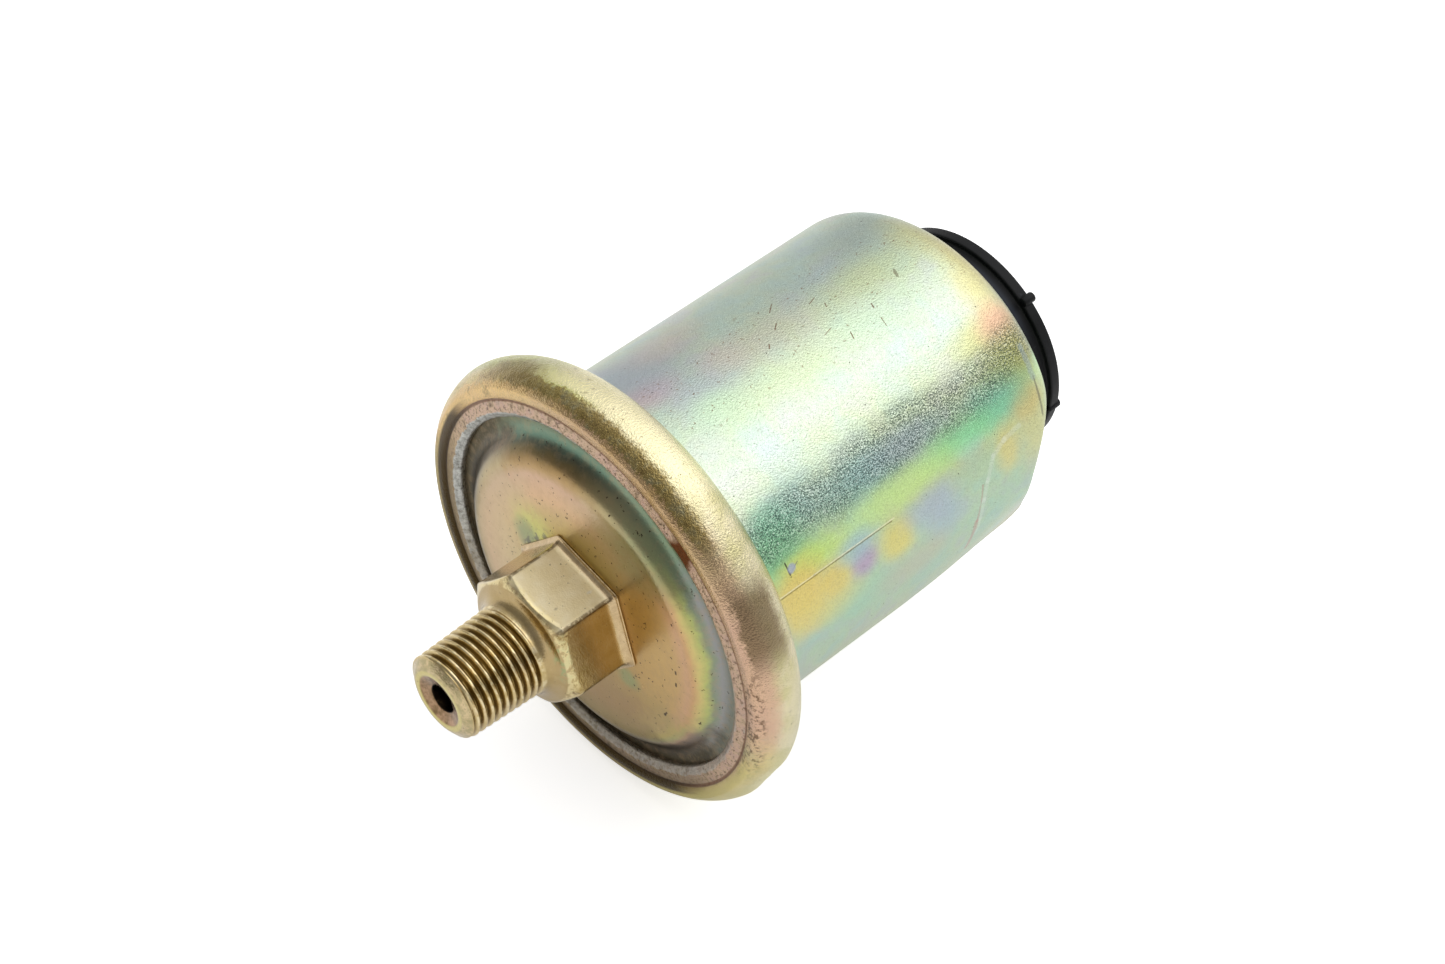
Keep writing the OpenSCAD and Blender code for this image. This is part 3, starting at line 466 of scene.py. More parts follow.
    marks += [
        # start, end, half width, colour, strength
        ((48.2, 79.0), (47.3, 92.0), 0.16, srgb(176, 140, 132), 0.5), ((47.3, 92.0), (46.6, 104.0), 0.3, srgb(186, 140, 132), 0.5),
        ((42.7, 13.4), (42.4, 15.8), 0.054, brown, 0.9), ((43.5, 0.2), (43.2, 1.8), 0.072, brown, 0.8),
        ((47.2, 9.4), (47.0, 11.2), 0.06, brown, 0.9), ((46.7, 15.0), (46.5, 18.2), 0.042, brown, 0.9),
        ((43.3, -3.6), (42.2, -2.6), 0.06, brown, 0.8), ((37.6, -3.4), (36.8, -1.6), 0.072, brown, 0.8),
        ((39.6, -11.2), (38.4, -8.6), 0.072, brown, 0.7), ((52.6, 4.0), (52.2, 6.6), 0.16, srgb(120, 116, 92), 0.7),
        ((41.4, 8.8), (40.2, 9.6), 0.048, brown, 0.8), ((34.8, 1.8), (34.4, 3.0), 0.072, brown, 0.8),
        ((18.4, 68.0), (35.4, 68.3), 0.07, srgb(246, 240, 206), 0.6),
        ((18.4, 68.5), (35.0, 68.8), 0.07, srgb(120, 108, 66), 0.7),
        ((20.8, 59.2), (20.95, 63.4), 0.1, srgb(76, 70, 60), 0.9), ((20.95, 63.2), (22.3, 61.0), 0.07, srgb(120, 120, 110), 0.8),
        ((58.9, 47.0), (58.8, 57.0), 0.5, srgb(156, 172, 176), 0.5),
        ((58.8, 56.0), (58.5, 70.0), 0.2, srgb(120, 116, 96), 0.7),
    ]
    for start, end, width, tint, strength in marks:
        body = s.mix(s.math("MULTIPLY", s.stroke(start, end, width, CAN_R, small, 1.6), strength), body, tint)
    chip = s.spot((21.4, 61.8), 0.55, 0.5, CAN_R, 0.3, small, 0.8)
    body = s.mix(s.math("MULTIPLY", chip, 0.85), body, srgb(176, 186, 204))
    # The rolled bead: cream outside, olive and gold inside, pinkish towards -Y, a rough brown band low on that side
    bead_film = s.ramp(s.noise(4.0, 3.0, 0.6), [(0.3, srgb(196, 176, 116)), (0.46, srgb(216, 196, 140)),
                                              (0.58, srgb(208, 184, 140)), (0.72, srgb(190, 186, 140))])
    outside = s.ramp(s.noise(3.0, 3.0, 0.6), [(0.35, srgb(206, 198, 150)), (0.6, srgb(222, 212, 176))])
    edge = s.math("ADD", x, s.math("MULTIPLY", s.math("SUBTRACT", small, 0.5), 1.2))
    bead = s.mix(s.step(edge, 10.0, 12.0), bead_film, outside)
    pink = s.math("MULTIPLY", s.band(turn, 26, 60, 88, 104), s.step(edge, 12.6, 10.6))
    bead = s.mix(s.math("MULTIPLY", pink, 0.75), bead, srgb(208, 168, 148))
    shift = s.math("MULTIPLY", s.math("SUBTRACT", s.noise(0.4, 3.0, 0.7), 0.5), 1.8)
    ragged_x = s.math("ADD", s.math("ADD", x, shift), s.math("MULTIPLY", s.math("SUBTRACT", mid, 0.5), 1.2))
    over = s.math("MULTIPLY", s.band(turn, -84, -56, -16, 6), s.step(ragged_x, 10.8, 11.8))
    bead = s.mix(s.math("MULTIPLY", over, 0.75), bead, s.ramp(mid, [(0.35, srgb(190, 194, 120)), (0.65, srgb(186, 180, 146))]))
    green = s.spot((11.4, -12), 1.6, 4.0, 25.8, 0.6, small, 1.2)
    bead = s.mix(s.math("MULTIPLY", green, 0.6), bead, srgb(228, 228, 140))
    # Olive film colour deepened into a dark band: painted dark reflection between the bright outer top and the front
    olive_and_shade_band = s.math("MULTIPLY", s.band(turn, -34, -20, 36, 48), s.band(ragged_x, 9.5, 9.8, 10.8, 11.5))
    bead = s.mix(s.math("MULTIPLY", olive_and_shade_band, 0.9), bead, s.ramp(small, [(0.3, srgb(118, 98, 52)), (0.5, srgb(148, 128, 76)),
                                                                   (0.72, srgb(140, 134, 104))]))
    patch = s.spot((11.3, -28), 1.5, 4.6, 25.5, 0.5, small, 1.2)
    bead = s.mix(s.math("MULTIPLY", patch, 0.75), bead, s.ramp(small, [(0.35, srgb(124, 106, 58)), (0.7, srgb(156, 136, 84))]))
    # Painted highlight: near-white cream on the outer top of the bead
    bead_highlight = s.math("MULTIPLY", s.band(turn, -24, -8, 24, 34), s.step(ragged_x, 11.2, 11.6))
    bead = s.mix(s.math("MULTIPLY", bead_highlight, 0.7), bead, srgb(250, 240, 196))
    gold = s.math("MULTIPLY", s.band(turn, -90, -70, -30, 0), s.step(ragged_x, 10.1, 9.6))
    bead = s.mix(s.math("MULTIPLY", gold, 0.7), bead, srgb(226, 188, 128))
    front = s.math("MULTIPLY", s.band(turn, -30, 0, 30, 50), s.step(ragged_x, 9.9, 9.6))
    bead = s.mix(s.math("MULTIPLY", front, 0.7), bead, s.ramp(mid, [(0.35, srgb(190, 150, 104)), (0.65, srgb(200, 164, 138))]))
    brown = s.math("MULTIPLY", s.band(turn, 48, 56, 66, 76), s.band(ragged_x, 9.6, 10.2, 13.4, 15.0))
    bead = s.mix(s.math("MULTIPLY", brown, 0.85), bead, srgb(126, 106, 78))
    # Painted shade: the bead darker on its left and lower side
    shaded_side = s.math("ADD", s.step(turn, 118, 140), s.step(turn, -66, -86))
    bead = s.mix(s.math("MULTIPLY", shaded_side, 0.75), bead, s.ramp(mid, [(0.35, srgb(130, 112, 62)), (0.65, srgb(160, 144, 86))]))
    rough_in = s.math("MULTIPLY", s.band(turn, 64, 80, 104, 118), s.band(x, 9.3, 9.32, 9.7, 10.6))
    pits = s.step(s.noise(0.6, 4.0, 0.75), 0.5, 0.4)
    bead = s.mix(s.math("MULTIPLY", s.math("MULTIPLY", rough_in, pits), 0.8), bead, srgb(96, 72, 50))
    yellow = s.math("MULTIPLY", s.band(turn, 96, 112, 140, 180), s.step(r, 23.6, 24.4))
    bead = s.mix(s.math("MULTIPLY", yellow, 0.6), bead, srgb(206, 196, 120))
    soot = s.math("MULTIPLY", s.step(s.noise(1.4, 4.0, 0.7), 0.6, 0.66), s.step(turn, 30, -10))
    bead = s.mix(s.math("MULTIPLY", soot, 0.4), bead, srgb(120, 100, 62))
    specks = s.step(s.noise(0.4, 2.0, 0.6), 0.69, 0.73)
    bead = s.mix(s.math("MULTIPLY", specks, 0.7), bead, srgb(84, 66, 44))
    is_bead = s.math("MULTIPLY", s.step(r, 20.6, 21.2), s.step(x, 16.9, 16.2))
    colour = s.mix(is_bead, body, bead)
    root = s.math("MULTIPLY", s.band(x, 15.8, 16.0, 16.5, 17.4), s.step(r, 22.6, 20.8))
    colour = s.mix(s.math("MULTIPLY", root, 0.7), colour, srgb(110, 116, 80))
    # The folded lip: mottled pink face, bare grey sheared edge, and a dark crease that is painted shade, wider and
    # darker at the left and bottom
    lip = s.ramp(s.noise(1.3, 4.0, 0.7), [(0.3, srgb(150, 128, 104)), (0.46, srgb(206, 178, 150)),
                                         (0.6, srgb(200, 168, 150)), (0.74, srgb(176, 168, 150))])
    lip = s.mix(s.math("MULTIPLY", s.step(turn, -50, -80), 0.6), lip, srgb(176, 152, 104))
    # Painted shade: the lip darker on its left and lower side
    lip = s.mix(s.math("MULTIPLY", shaded_side, 0.6), lip, srgb(112, 98, 64))
    cracks = s.step(s.noise(0.45, 4.0, 0.8), 0.47, 0.41)
    lip = s.mix(s.math("MULTIPLY", cracks, 0.75), lip, srgb(96, 76, 56))
    is_front = s.step(x, 10.7, 10.4)
    is_lip = s.math("MULTIPLY", is_front, s.step(r, 23.75, 23.6))
    colour = s.mix(is_lip, colour, lip)
    ragged = s.math("ADD", r, s.math("MULTIPLY", s.math("SUBTRACT", small, 0.5), 0.9))
    bare = s.ramp(s.noise(0.7, 4.0, 0.75), [(0.32, srgb(120, 118, 110)), (0.5, srgb(186, 186, 180)),
                                           (0.7, srgb(216, 216, 210))])
    is_bare = s.math("MULTIPLY", is_front, s.step(ragged, 22.2, 22.0))
    is_bare = s.math("MULTIPLY", is_bare, s.blend(s.band(turn, -120, -90, 0, 40), 0.5, 1.0))
    colour = s.mix(is_bare, colour, bare)
    # Painted shade in the crease between lip and bead, wider and darker on the left and lower side
    crease_shade_side = s.math("ADD", s.step(turn, -46, -62), s.step(turn, 130, 150))
    crease_shade = s.blend(crease_shade_side, s.band(r, 23.25, 23.4, 23.6, 23.75), s.band(r, 23.2, 23.4, 24.3, 24.7))
    crease_shade = s.math("MULTIPLY", is_front, crease_shade)
    dark = s.mix(crease_shade_side, srgb(112, 76, 48), srgb(60, 46, 22))
    colour = s.mix(s.math("MULTIPLY", crease_shade, s.blend(crease_shade_side, 0.75, 0.95)), colour, dark)
    lip_dots = s.math("MULTIPLY", s.math("MULTIPLY", is_lip, specks), 0.8)
    colour = s.mix(lip_dots, colour, srgb(76, 62, 48))
    rust = s.math("MULTIPLY", is_front, s.spot((9.7, 38.8), 1.7, 1.7, 22.2, 0.3, small, 0.8))
    colour = s.mix(rust, colour, srgb(104, 60, 28))
    roughness = s.blend(is_bead, s.blend(mid, 0.27, 0.36), s.blend(mid, 0.18, 0.3))
    roughness = s.math("ADD", roughness, s.math("MULTIPLY", is_lip, 0.12))
    return s.finish(colour, roughness, 1.0, [(fine, 0.1, 1.0), (grain, 0.04, 1.0), (mid, 0.12, 0.2)])


can = make_can()
stands_for(can, "canister", "housing", zinc_can())


# ---------------------------------------------------------------- base plate
def make_plate():
    front = [(7.9, 5.0), (7.9, 9.4)]
    lean = math.radians(DOME_LEAN)
    mid = DOME_EDGE_R - DOME_ROUND * math.cos(lean)
    wall = (RIM_X - DOME_X - (DOME_ROUND + DOME_FILLET) * (1 - math.sin(lean))) / math.cos(lean)
    root = DOME_EDGE_R + wall * math.sin(lean) + DOME_FILLET * math.cos(lean)
    front += line((7.9, 9.4), (DOME_X, mid), 10)
    front += arc(DOME_X + DOME_ROUND, mid, DOME_ROUND, 180, 90 + DOME_LEAN, 14)[1:]
    front += arc(RIM_X - DOME_FILLET, root, DOME_FILLET, DOME_LEAN - 90, 0, 10)
    front += line((RIM_X, root), (RIM_X, 24.2), 6) + [(RIM_X + 0.1, 24.3)]
    back = [(12.0, 24.3), (12.0, 19.7), (11.6, 18.7), (10.8, 17.8), (9.85, 16.6), (9.4, 9.4), (9.4, 5.0)]
    piece = turned("dome", front + back, 288)
    sharp(piece, 40)
    return piece


def zinc_plate():
    s = Shader("zinc_plate")
    x, r, turn = s.axis()
    mid = s.noise(3.0, 3.0, 0.6)
    small = s.noise(1.0, 3.0, 0.65)
    fine = s.noise(0.26, 2.0, 0.65)
    wobble = s.math("ADD", s.math("MULTIPLY", s.math("SUBTRACT", mid, 0.5), 1.1),
                    s.math("MULTIPLY", s.math("SUBTRACT", small, 0.5), 0.5))
    reach = s.math("DIVIDE", s.math("ADD", r, wobble), 24.0)

    def rings(stops):
        return s.ramp(reach, [(at / 24.0, tint) for at, tint in stops])

    # The rings darken towards the groove between dome and lip, to near black at the left and at the bottom: painted
    # shade in that gap
    left = rings([(8, srgb(200, 180, 130)), (12, srgb(206, 182, 140)), (15, srgb(202, 174, 138)),
                  (16.2, srgb(188, 166, 130)), (16.9, srgb(150, 134, 98)), (17.5, srgb(98, 86, 58)),
                  (18.2, srgb(38, 31, 19)), (19.3, srgb(50, 42, 27)), (20.6, srgb(80, 70, 44))])
    bend = rings([(8, srgb(200, 180, 124)), (12, srgb(206, 180, 136)), (15.5, srgb(200, 174, 142)),
                  (16.8, srgb(184, 166, 126)), (17.6, srgb(160, 146, 112)), (18.4, srgb(112, 98, 78)),
                  (19.3, srgb(92, 84, 66)), (20.4, srgb(70, 60, 28))])
    top = rings([(8, srgb(190, 168, 96)), (11, srgb(200, 174, 120)), (13, srgb(214, 178, 138)),
                 (15.5, srgb(206, 172, 142)), (16.6, srgb(184, 152, 104)), (17.5, srgb(150, 124, 82)),
                 (18.2, srgb(120, 106, 72)), (18.8, srgb(92, 96, 80)), (19.4, srgb(104, 130, 112)),
                 (20.0, srgb(118, 140, 118)), (20.8, srgb(112, 120, 92))])
    right = rings([(8, srgb(196, 160, 100)), (12, srgb(206, 172, 112)), (14.6, srgb(206, 172, 116)),
                   (16.2, srgb(216, 174, 134)), (17.0, srgb(208, 168, 122)), (17.7, srgb(202, 186, 122)),
                   (18.3, srgb(176, 182, 114)), (18.8, srgb(136, 146, 122)), (19.5, srgb(146, 146, 144)),
                   (20.6, srgb(128, 132, 120))])
    low = rings([(8, srgb(186, 158, 104)), (13, srgb(192, 164, 108)), (15.5, srgb(186, 164, 112)),
                 (16.6, srgb(194, 178, 110)), (17.2, srgb(176, 174, 112)), (17.8, srgb(172, 138, 112)),
                 (18.5, srgb(128, 112, 104)), (19.4, srgb(92, 82, 66)), (20.4, srgb(64, 58, 34))])
    spin = s.math("ADD", turn, s.math("MULTIPLY", s.math("SUBTRACT", mid, 0.5), 40.0))
    colour = s.mix(s.step(spin, -80, -62), left, bend)
    colour = s.mix(s.step(spin, -52, -28), colour, top)
    colour = s.mix(s.step(spin, 30, 60), colour, right)
    colour = s.mix(s.step(spin, 100, 126), colour, low)
    # the bottom rings carry the same painted shade towards the groove
    bottom = s.math("ADD", s.step(spin, 124, 148), s.step(spin, -116, -150))
    colour = s.mix(bottom, colour, rings([(8, srgb(180, 152, 104)), (13, srgb(178, 148, 104)), (15.5, srgb(166, 144, 98)),
                                          (16.6, srgb(146, 128, 82)), (17.5, srgb(100, 86, 50)),
                                          (18.3, srgb(42, 35, 18)), (19.4, srgb(56, 48, 30)), (20.6, srgb(70, 60, 34))]))
    # Green and teal stains beside the hexagon, an olive veil behind its upper edge
    colour = s.paint(colour, [
        (8.0, -48, 3.0, 2.6, 0.8, 1.1, srgb(200, 202, 112), 0.75),
        (8.0, -60, 1.2, 1.8, 0.6, 1.1, srgb(120, 136, 116), 0.6),
    ], 9.0, mid)
    near = s.math("MULTIPLY", s.step(small, 0.48, 0.6), s.math("MULTIPLY", s.step(r, 9.5, 8.6), s.band(turn, -76, -66, -38, -26)))
    colour = s.mix(s.math("MULTIPLY", near, 0.7), colour, srgb(66, 84, 84))
    colour = s.paint(colour, [(8.2, 126, 2.0, 1.2, 0.7, 1.1, srgb(140, 166, 120), 0.6)], 9.3, mid)
    colour = s.paint(colour, [(8.3, 22, 2.0, 5.0, 0.8, 1.0, srgb(196, 190, 150), 0.5),
                              (9.0, 35, 2.0, 4.0, 0.8, 1.0, srgb(140, 160, 120), 0.5)], 17.0, mid)
    cloudy = s.math("MULTIPLY", s.step(small, 0.46, 0.62), 0.18)
    colour = s.mix(cloudy, colour, srgb(176, 146, 110))
    specks = s.step(s.noise(0.55, 3.0, 0.6), 0.66, 0.69)
    colour = s.mix(s.math("MULTIPLY", specks, 0.9), colour, srgb(58, 44, 30))
    for start, end, width in (((8.2, 116.4), (8.2, 118.4), 0.13), ((8.2, 118.4), (8.2, 118.9), 0.2),
                              ((8.2, 92.0), (8.2, 93.6), 0.12), ((8.2, 85.0), (8.2, 86.2), 0.14)):
        colour = s.mix(s.math("MULTIPLY", s.stroke(start, end, width, 14.6, small, 1.2), 0.85), colour, srgb(70, 58, 40))
    roughness = s.blend(mid, 0.24, 0.36)
    return s.finish(colour, roughness, 1.0, [(fine, 0.03, 0.7), (mid, 0.08, 0.2)])


plate = make_plate()
stands_for(plate, "base_plate", "housing", zinc_plate())


# ---------------------------------------------------------------- fitting
HEX_APOTHEM, HEX_FRONT_R, HEX_TURN = 7.25, 6.94, 14.0
THREAD_END, THREAD_START, PITCH, DEPTH = -1.4, -10.4, 0.9407, 0.56


def crest(x):
    return 5.25 + (x - THREAD_END) / 32


def thread_radius(x, phi):
    """Radius of the tapered helical thread, faded out at both ends."""
    turn = (x / PITCH - phi / (2 * math.pi)) % 1.0
    wave = abs(turn - 0.5) * 2
    cut = smooth_step(1 - wave, 0.12, 0.95)
    fade = smooth_step(x, THREAD_START - 0.3, THREAD_START + 0.4) * (1 - smooth_step(x, THREAD_END - 0.5, THREAD_END + 0.2))
    return crest(x) - DEPTH * cut * fade


def hex_radius(phi, apothem, soft=0.25):
    """Radius of a hexagon with slightly eased corners."""
    local = (math.degrees(phi) - HEX_TURN - 30) % 60
    d = math.radians(min(local, 60 - local))
    sharp_r = apothem / math.cos(d)
    limit = apothem / math.cos(math.radians(30)) - 0.12
    k = 0.05
    h = max(0.0, min(1.0, 0.5 + 0.5 * (limit - sharp_r) / k / 4))
    return min(sharp_r, limit + 0.02) if h > 0.5 else limit + 0.02 * h


def make_fitting():
    segments = 180
    phis = [math.radians(HEX_TURN) + 2 * math.pi * k / segments for k in range(segments)]
    rows = []

    def ring(x, radius):
        row = []
        for phi in phis:
            r = radius(phi) if callable(radius) else radius
            px = x(phi) if callable(x) else x
            row.append((px, r * math.cos(phi), r * math.sin(phi)))
        rows.append(row)

    bore = [(10.4, 1.6), (0.0, 1.6), (-10.5, 1.6), (-10.62, 1.68), (-10.75, 2.0), (-10.98, 2.8), (-11.06, 2.97), (-11.1, 3.1)]
    for x, r in bore:
        ring(x, r)
    nose = [(-11.1, 3.6), (-11.06, 3.85), (-10.95, 4.05), (-10.75, 4.35), (-10.55, 4.65), (-10.44, 4.8)]
    for x, r in nose:
        ring(x, r)
    count = 110
    for i in range(count + 1):
        x = THREAD_START + (THREAD_END + 0.1 - THREAD_START) * i / count
        ring(x, lambda phi, x=x: thread_radius(x, phi))
    neck = [(-1.15, 5.3), (-0.9, 5.38), (-0.65, 5.55), (-0.4, 5.85), (-0.2, 6.2), (-0.06, 6.6), (-0.01, 6.8)]
    for x, r in neck:
        ring(x, r)
    slope = math.tan(math.radians(35))
    ring(0.03, 6.92)

    def bevel_x(phi, extra=0.0):
        return 0.03 + max(0.0, (hex_radius(phi, HEX_APOTHEM) - 6.95)) * slope + extra

    ring(lambda phi: bevel_x(phi) * 0.5 + 0.02, lambda phi: (hex_radius(phi, HEX_APOTHEM) + 6.95) / 2)
    ring(lambda phi: bevel_x(phi), lambda phi: hex_radius(phi, HEX_APOTHEM) - 0.06)
    ring(lambda phi: bevel_x(phi, 0.08), lambda phi: hex_radius(phi, HEX_APOTHEM))
    for i in range(1, 12):
        ring(lambda phi, i=i: bevel_x(phi, 0.08) + (6.55 - bevel_x(phi, 0.08)) * i / 11, lambda phi: hex_radius(phi, HEX_APOTHEM))
    for i in range(1, 9):
        a = math.radians(90 * i / 8)
        ring(6.55 + 1.1 * math.sin(a), lambda phi, a=a: hex_radius(phi, HEX_APOTHEM + 0.66 * (1 - math.cos(a))))
    ring(7.74, lambda phi: hex_radius(phi, HEX_APOTHEM + 0.7))
    ring(7.86, lambda phi: hex_radius(phi, HEX_APOTHEM + 0.66))
    ring(7.9, lambda phi: hex_radius(phi, HEX_APOTHEM + 0.55))
    ring(7.9, 5.0)
    ring(9.4, 5.0)
    ring(9.4, 6.3)
    ring(9.5, 6.4)
    ring(10.3, 6.4)
    ring(10.4, 6.3)
    piece = build("fitting", rows, closed_rows=True)
    sharp(piece, 38)
    return piece


def zinc_fitting():
    s = Shader("zinc_fitting")
    x, r, turn = s.axis()
    mid = s.noise(2.2, 3.0, 0.55)
    small = s.noise(0.7, 3.0, 0.65)
    fine = s.noise(0.22, 2.0, 0.65)
    gold = s.ramp(mid, [(0.3, srgb(190, 168, 116)), (0.5, srgb(206, 184, 134)), (0.7, srgb(212, 192, 150))])
    colour = s.mix(s.math("MULTIPLY", s.step(small, 0.5, 0.66), 0.22), gold, srgb(226, 210, 166))
    tan = s.ramp(small, [(0.35, srgb(176, 146, 112)), (0.65, srgb(206, 178, 140))])
    foot = s.step(x, 6.7, 7.2)
    colour = s.mix(s.math("MULTIPLY", foot, 0.6), colour, tan)
    neck = s.band(x, -1.3, -1.0, 0.1, 0.6)
    colour = s.mix(s.math("MULTIPLY", neck, 0.5), colour, srgb(150, 124, 84))
    # The flat on top is painted pale as lit, a painted highlight; the one towards -Y and below gets painted shade,
    # greenish at its edges
    upper = s.math("MULTIPLY", s.band(turn, -18, -15, 43, 45.5), s.band(x, 0.3, 0.8, 6.8, 7.3))
    colour = s.mix(s.math("MULTIPLY", upper, 0.75), colour, s.ramp(mid, [(0.35, srgb(240, 226, 184)), (0.65, srgb(248, 238, 206))]))
    shade = s.math("MULTIPLY", s.band(turn, 43.5, 46, 102, 104.5), s.band(x, 0.1, 0.5, 6.4, 6.9))
    colour = s.mix(s.math("MULTIPLY", shade, 0.7), colour, s.ramp(mid, [(0.35, srgb(150, 126, 70)), (0.65, srgb(166, 142, 90))]))
    green = s.math("MULTIPLY", s.band(turn, 40, 60, 84, 100), s.band(x, -0.4, -0.1, 0.8, 1.3))
    colour = s.mix(s.math("MULTIPLY", s.math("MULTIPLY", green, s.step(small, 0.45, 0.6)), 0.6), colour, srgb(150, 170, 120))
    # Worn corners: dark grime with bare metal beside it; the bright front chamfer edge is partly that bare metal and
    # partly a painted highlight
    corner = s.math("PINGPONG", s.math("ADD", turn, 226.0), 30.0)
    on_hex = s.band(x, 0.2, 0.6, 7.2, 7.8)
    edge = s.math("MULTIPLY", s.math("MULTIPLY", on_hex, s.step(corner, 27.6, 29.0)), s.step(small, 0.62, 0.5))
    colour = s.mix(s.math("MULTIPLY", edge, 0.7), colour, srgb(116, 92, 62))
    # painted highlight along the front chamfer edge, partly bare metal
    lit_front_edge = s.math("MULTIPLY", s.band(r, 7.0, 7.15, 7.5, 8.3), s.band(x, -0.1, 0.1, 0.9, 1.3))
    colour = s.mix(s.math("MULTIPLY", s.math("MULTIPLY", lit_front_edge, s.step(small, 0.4, 0.52)), 0.6), colour, srgb(238, 222, 170))
    # Thread: painted shade in the valleys, and bright crests that are partly worn metal and partly painted highlight
    is_thread = s.math("MULTIPLY", s.step(x, -1.0, -1.3), s.step(x, -10.6, -10.3))
    valley = s.math("SUBTRACT", s.math("ADD", 5.25, s.math("MULTIPLY", s.math("ADD", x, 1.4), 1 / 32)), r)
    thread_valley_shade = s.math("MULTIPLY", is_thread, s.step(valley, 0.06, 0.4))
    colour = s.mix(s.math("MULTIPLY", thread_valley_shade, 0.85), colour, srgb(112, 90, 44))
    worn_crest_highlight = s.math("MULTIPLY", s.math("MULTIPLY", is_thread, s.step(valley, 0.12, 0.02)), s.step(small, 0.45, 0.6))
    colour = s.mix(s.math("MULTIPLY", worn_crest_highlight, 0.7), colour, srgb(238, 224, 184))
    nose = s.math("MULTIPLY", s.step(x, -10.4, -10.6), s.step(r, 3.4, 3.7))
    colour = s.mix(s.math("MULTIPLY", nose, 0.6), colour, s.ramp(small, [(0.4, srgb(150, 144, 110)), (0.62, srgb(206, 186, 150))]))
    dish = s.math("MULTIPLY", s.step(x, -10.4, -10.6), s.step(r, 3.25, 3.0))
    colour = s.mix(s.math("MULTIPLY", dish, 0.85), colour, s.ramp(small, [(0.35, srgb(96, 70, 48)), (0.65, srgb(170, 134, 108))]))
    rim = s.math("MULTIPLY", s.step(x, -10.6, -10.9), s.band(r, 2.9, 3.1, 3.5, 3.8))
    colour = s.mix(s.math("MULTIPLY", rim, 0.6), colour, srgb(206, 196, 120))
    # Painted shade: the inside of the bore made near black
    bore = s.math("MULTIPLY", s.step(r, 1.75, 1.64), s.step(x, -10.75, -10.6))
    colour = s.mix(bore, colour, srgb(26, 20, 14))
    specks = s.step(s.noise(0.35, 3.0, 0.65), 0.66, 0.7)
    colour = s.mix(s.math("MULTIPLY", specks, 0.65), colour, srgb(104, 82, 52))
    # a chip whose white spot is a painted glint, two dark specks beside it
    colour = s.paint(colour, [(6.2, 32.3, 0.6, 0.35, 0.4, 0.8, srgb(230, 232, 236), 0.9),
                              (6.7, 35.5, 0.4, 0.3, 0.4, 0.8, srgb(90, 76, 56), 0.9),
                              (2.1, 27.8, 0.3, 0.22, 0.4, 0.8, srgb(96, 80, 56), 0.8)], HEX_APOTHEM, small)
    roughness = s.math("ADD", s.blend(mid, 0.16, 0.27), s.math("MULTIPLY", upper, 0.3))
    return s.finish(colour, roughness, 1.0, [(fine, 0.025, 0.7), (small, 0.04, 0.3), (mid, 0.05, 0.2)])


fitting = make_fitting()
stands_for(fitting, "pressure_fitting", "housing", zinc_fitting())


# ---------------------------------------------------------------- end cap
CAP_BACK = 67.8


def make_cap():
    profile = [(61.4, 2.0), (61.4, 7.7), (61.45, 7.8), (62.3, 7.8), (62.3, 9.55), (63.8, 9.55), (63.8, 11.25), (62.3, 11.25),
               (62.3, 12.85), (62.45, 13.0)]
    profile += line((62.45, 13.0), (66.2, 13.0), 8)
    profile += arc(66.2, 13.2, 0.2, 270, 360, 3)[1:]
    profile += [(66.4, 13.5)] + arc(66.6, 13.5, 0.2, 180, 90, 4)[1:]
    profile += line((66.6, 13.7), (67.55, 13.7), 3) + arc(67.55, 13.45, 0.25, 90, 0, 5)[1:]
    profile += line((67.8, 13.45), (67.8, 11.2), 3) + arc(67.6, 11.2, 0.2, 360, 270, 3)[1:]
    profile += line((67.6, 11.0), (66.4, 11.0), 2) + arc(66.4, 10.8, 0.2, 90, 180, 3)[1:]
    profile += line((66.2, 10.8), (66.2, 5.8), 4) + [(66.25, 5.6), (66.4, 5.5), (66.9, 5.5), (67.0, 5.35), (67.0, 2.0)]
    profile += [(64.0, 2.0)]
    piece = turned("cap", profile, 240)
    for turn, out in ((126.6, 13.76), (186.6, 13.32)):
        t = math.radians(turn)
        centre = Vector((0, out * math.cos(t), out * math.sin(t)))
        rows = []
        for x, r in [(66.4, 0.35), (66.42, 0.5), (66.5, 0.58), (67.2, 0.6), (67.9, 0.6), (68.03, 0.55), (68.1, 0.42), (68.1, 0.2)]:
            rows.append([(x, centre.y + r * math.cos(2 * math.pi * k / 32), centre.z + r * math.sin(2 * math.pi * k / 32))
                         for k in range(32)])
        nub = build("nub", rows, caps=True)
        join(piece, nub)
    sharp(piece, 45)
    return piece


def join(piece, other):
    mesh = bmesh.new()
    mesh.from_mesh(piece.data)
    mesh.from_mesh(other.data)
    mesh.to_mesh(piece.data)
    mesh.free()
    bpy.data.objects.remove(other)


def cap_plastic():
    s = Shader("cap_plastic")
    mid = s.noise(2.5, 3.0, 0.6)
    fine = s.noise(0.2, 3.0, 0.6)
    scuff = s.step(s.noise(0.9, 4.0, 0.7), 0.62, 0.72)
    x, r, turn = s.axis()
    colour = s.ramp(mid, [(0.3, srgb(8, 9, 11)), (0.7, srgb(16, 17, 20))])
    # Painted highlight: the wall's upper side made lighter grey-blue, a sheen on the black plastic
    wall = s.math("MULTIPLY", s.band(x, 62.4, 62.9, 65.2, 66.1), s.band(turn, -10, 12, 36, 60))
    colour = s.mix(s.math("MULTIPLY", wall, 0.7), colour, srgb(44, 49, 60))
    colour = s.mix(s.math("MULTIPLY", scuff, 0.25), colour, srgb(58, 62, 70))
    roughness = s.blend(mid, 0.4, 0.55)
    return s.finish(colour, roughness, 0.0, [(fine, 0.01, 0.5), (mid, 0.05, 0.2)], Specular_IOR_Level=0.2)


cap = make_cap()
stands_for(cap, "end_cap", "housing", cap_plastic())


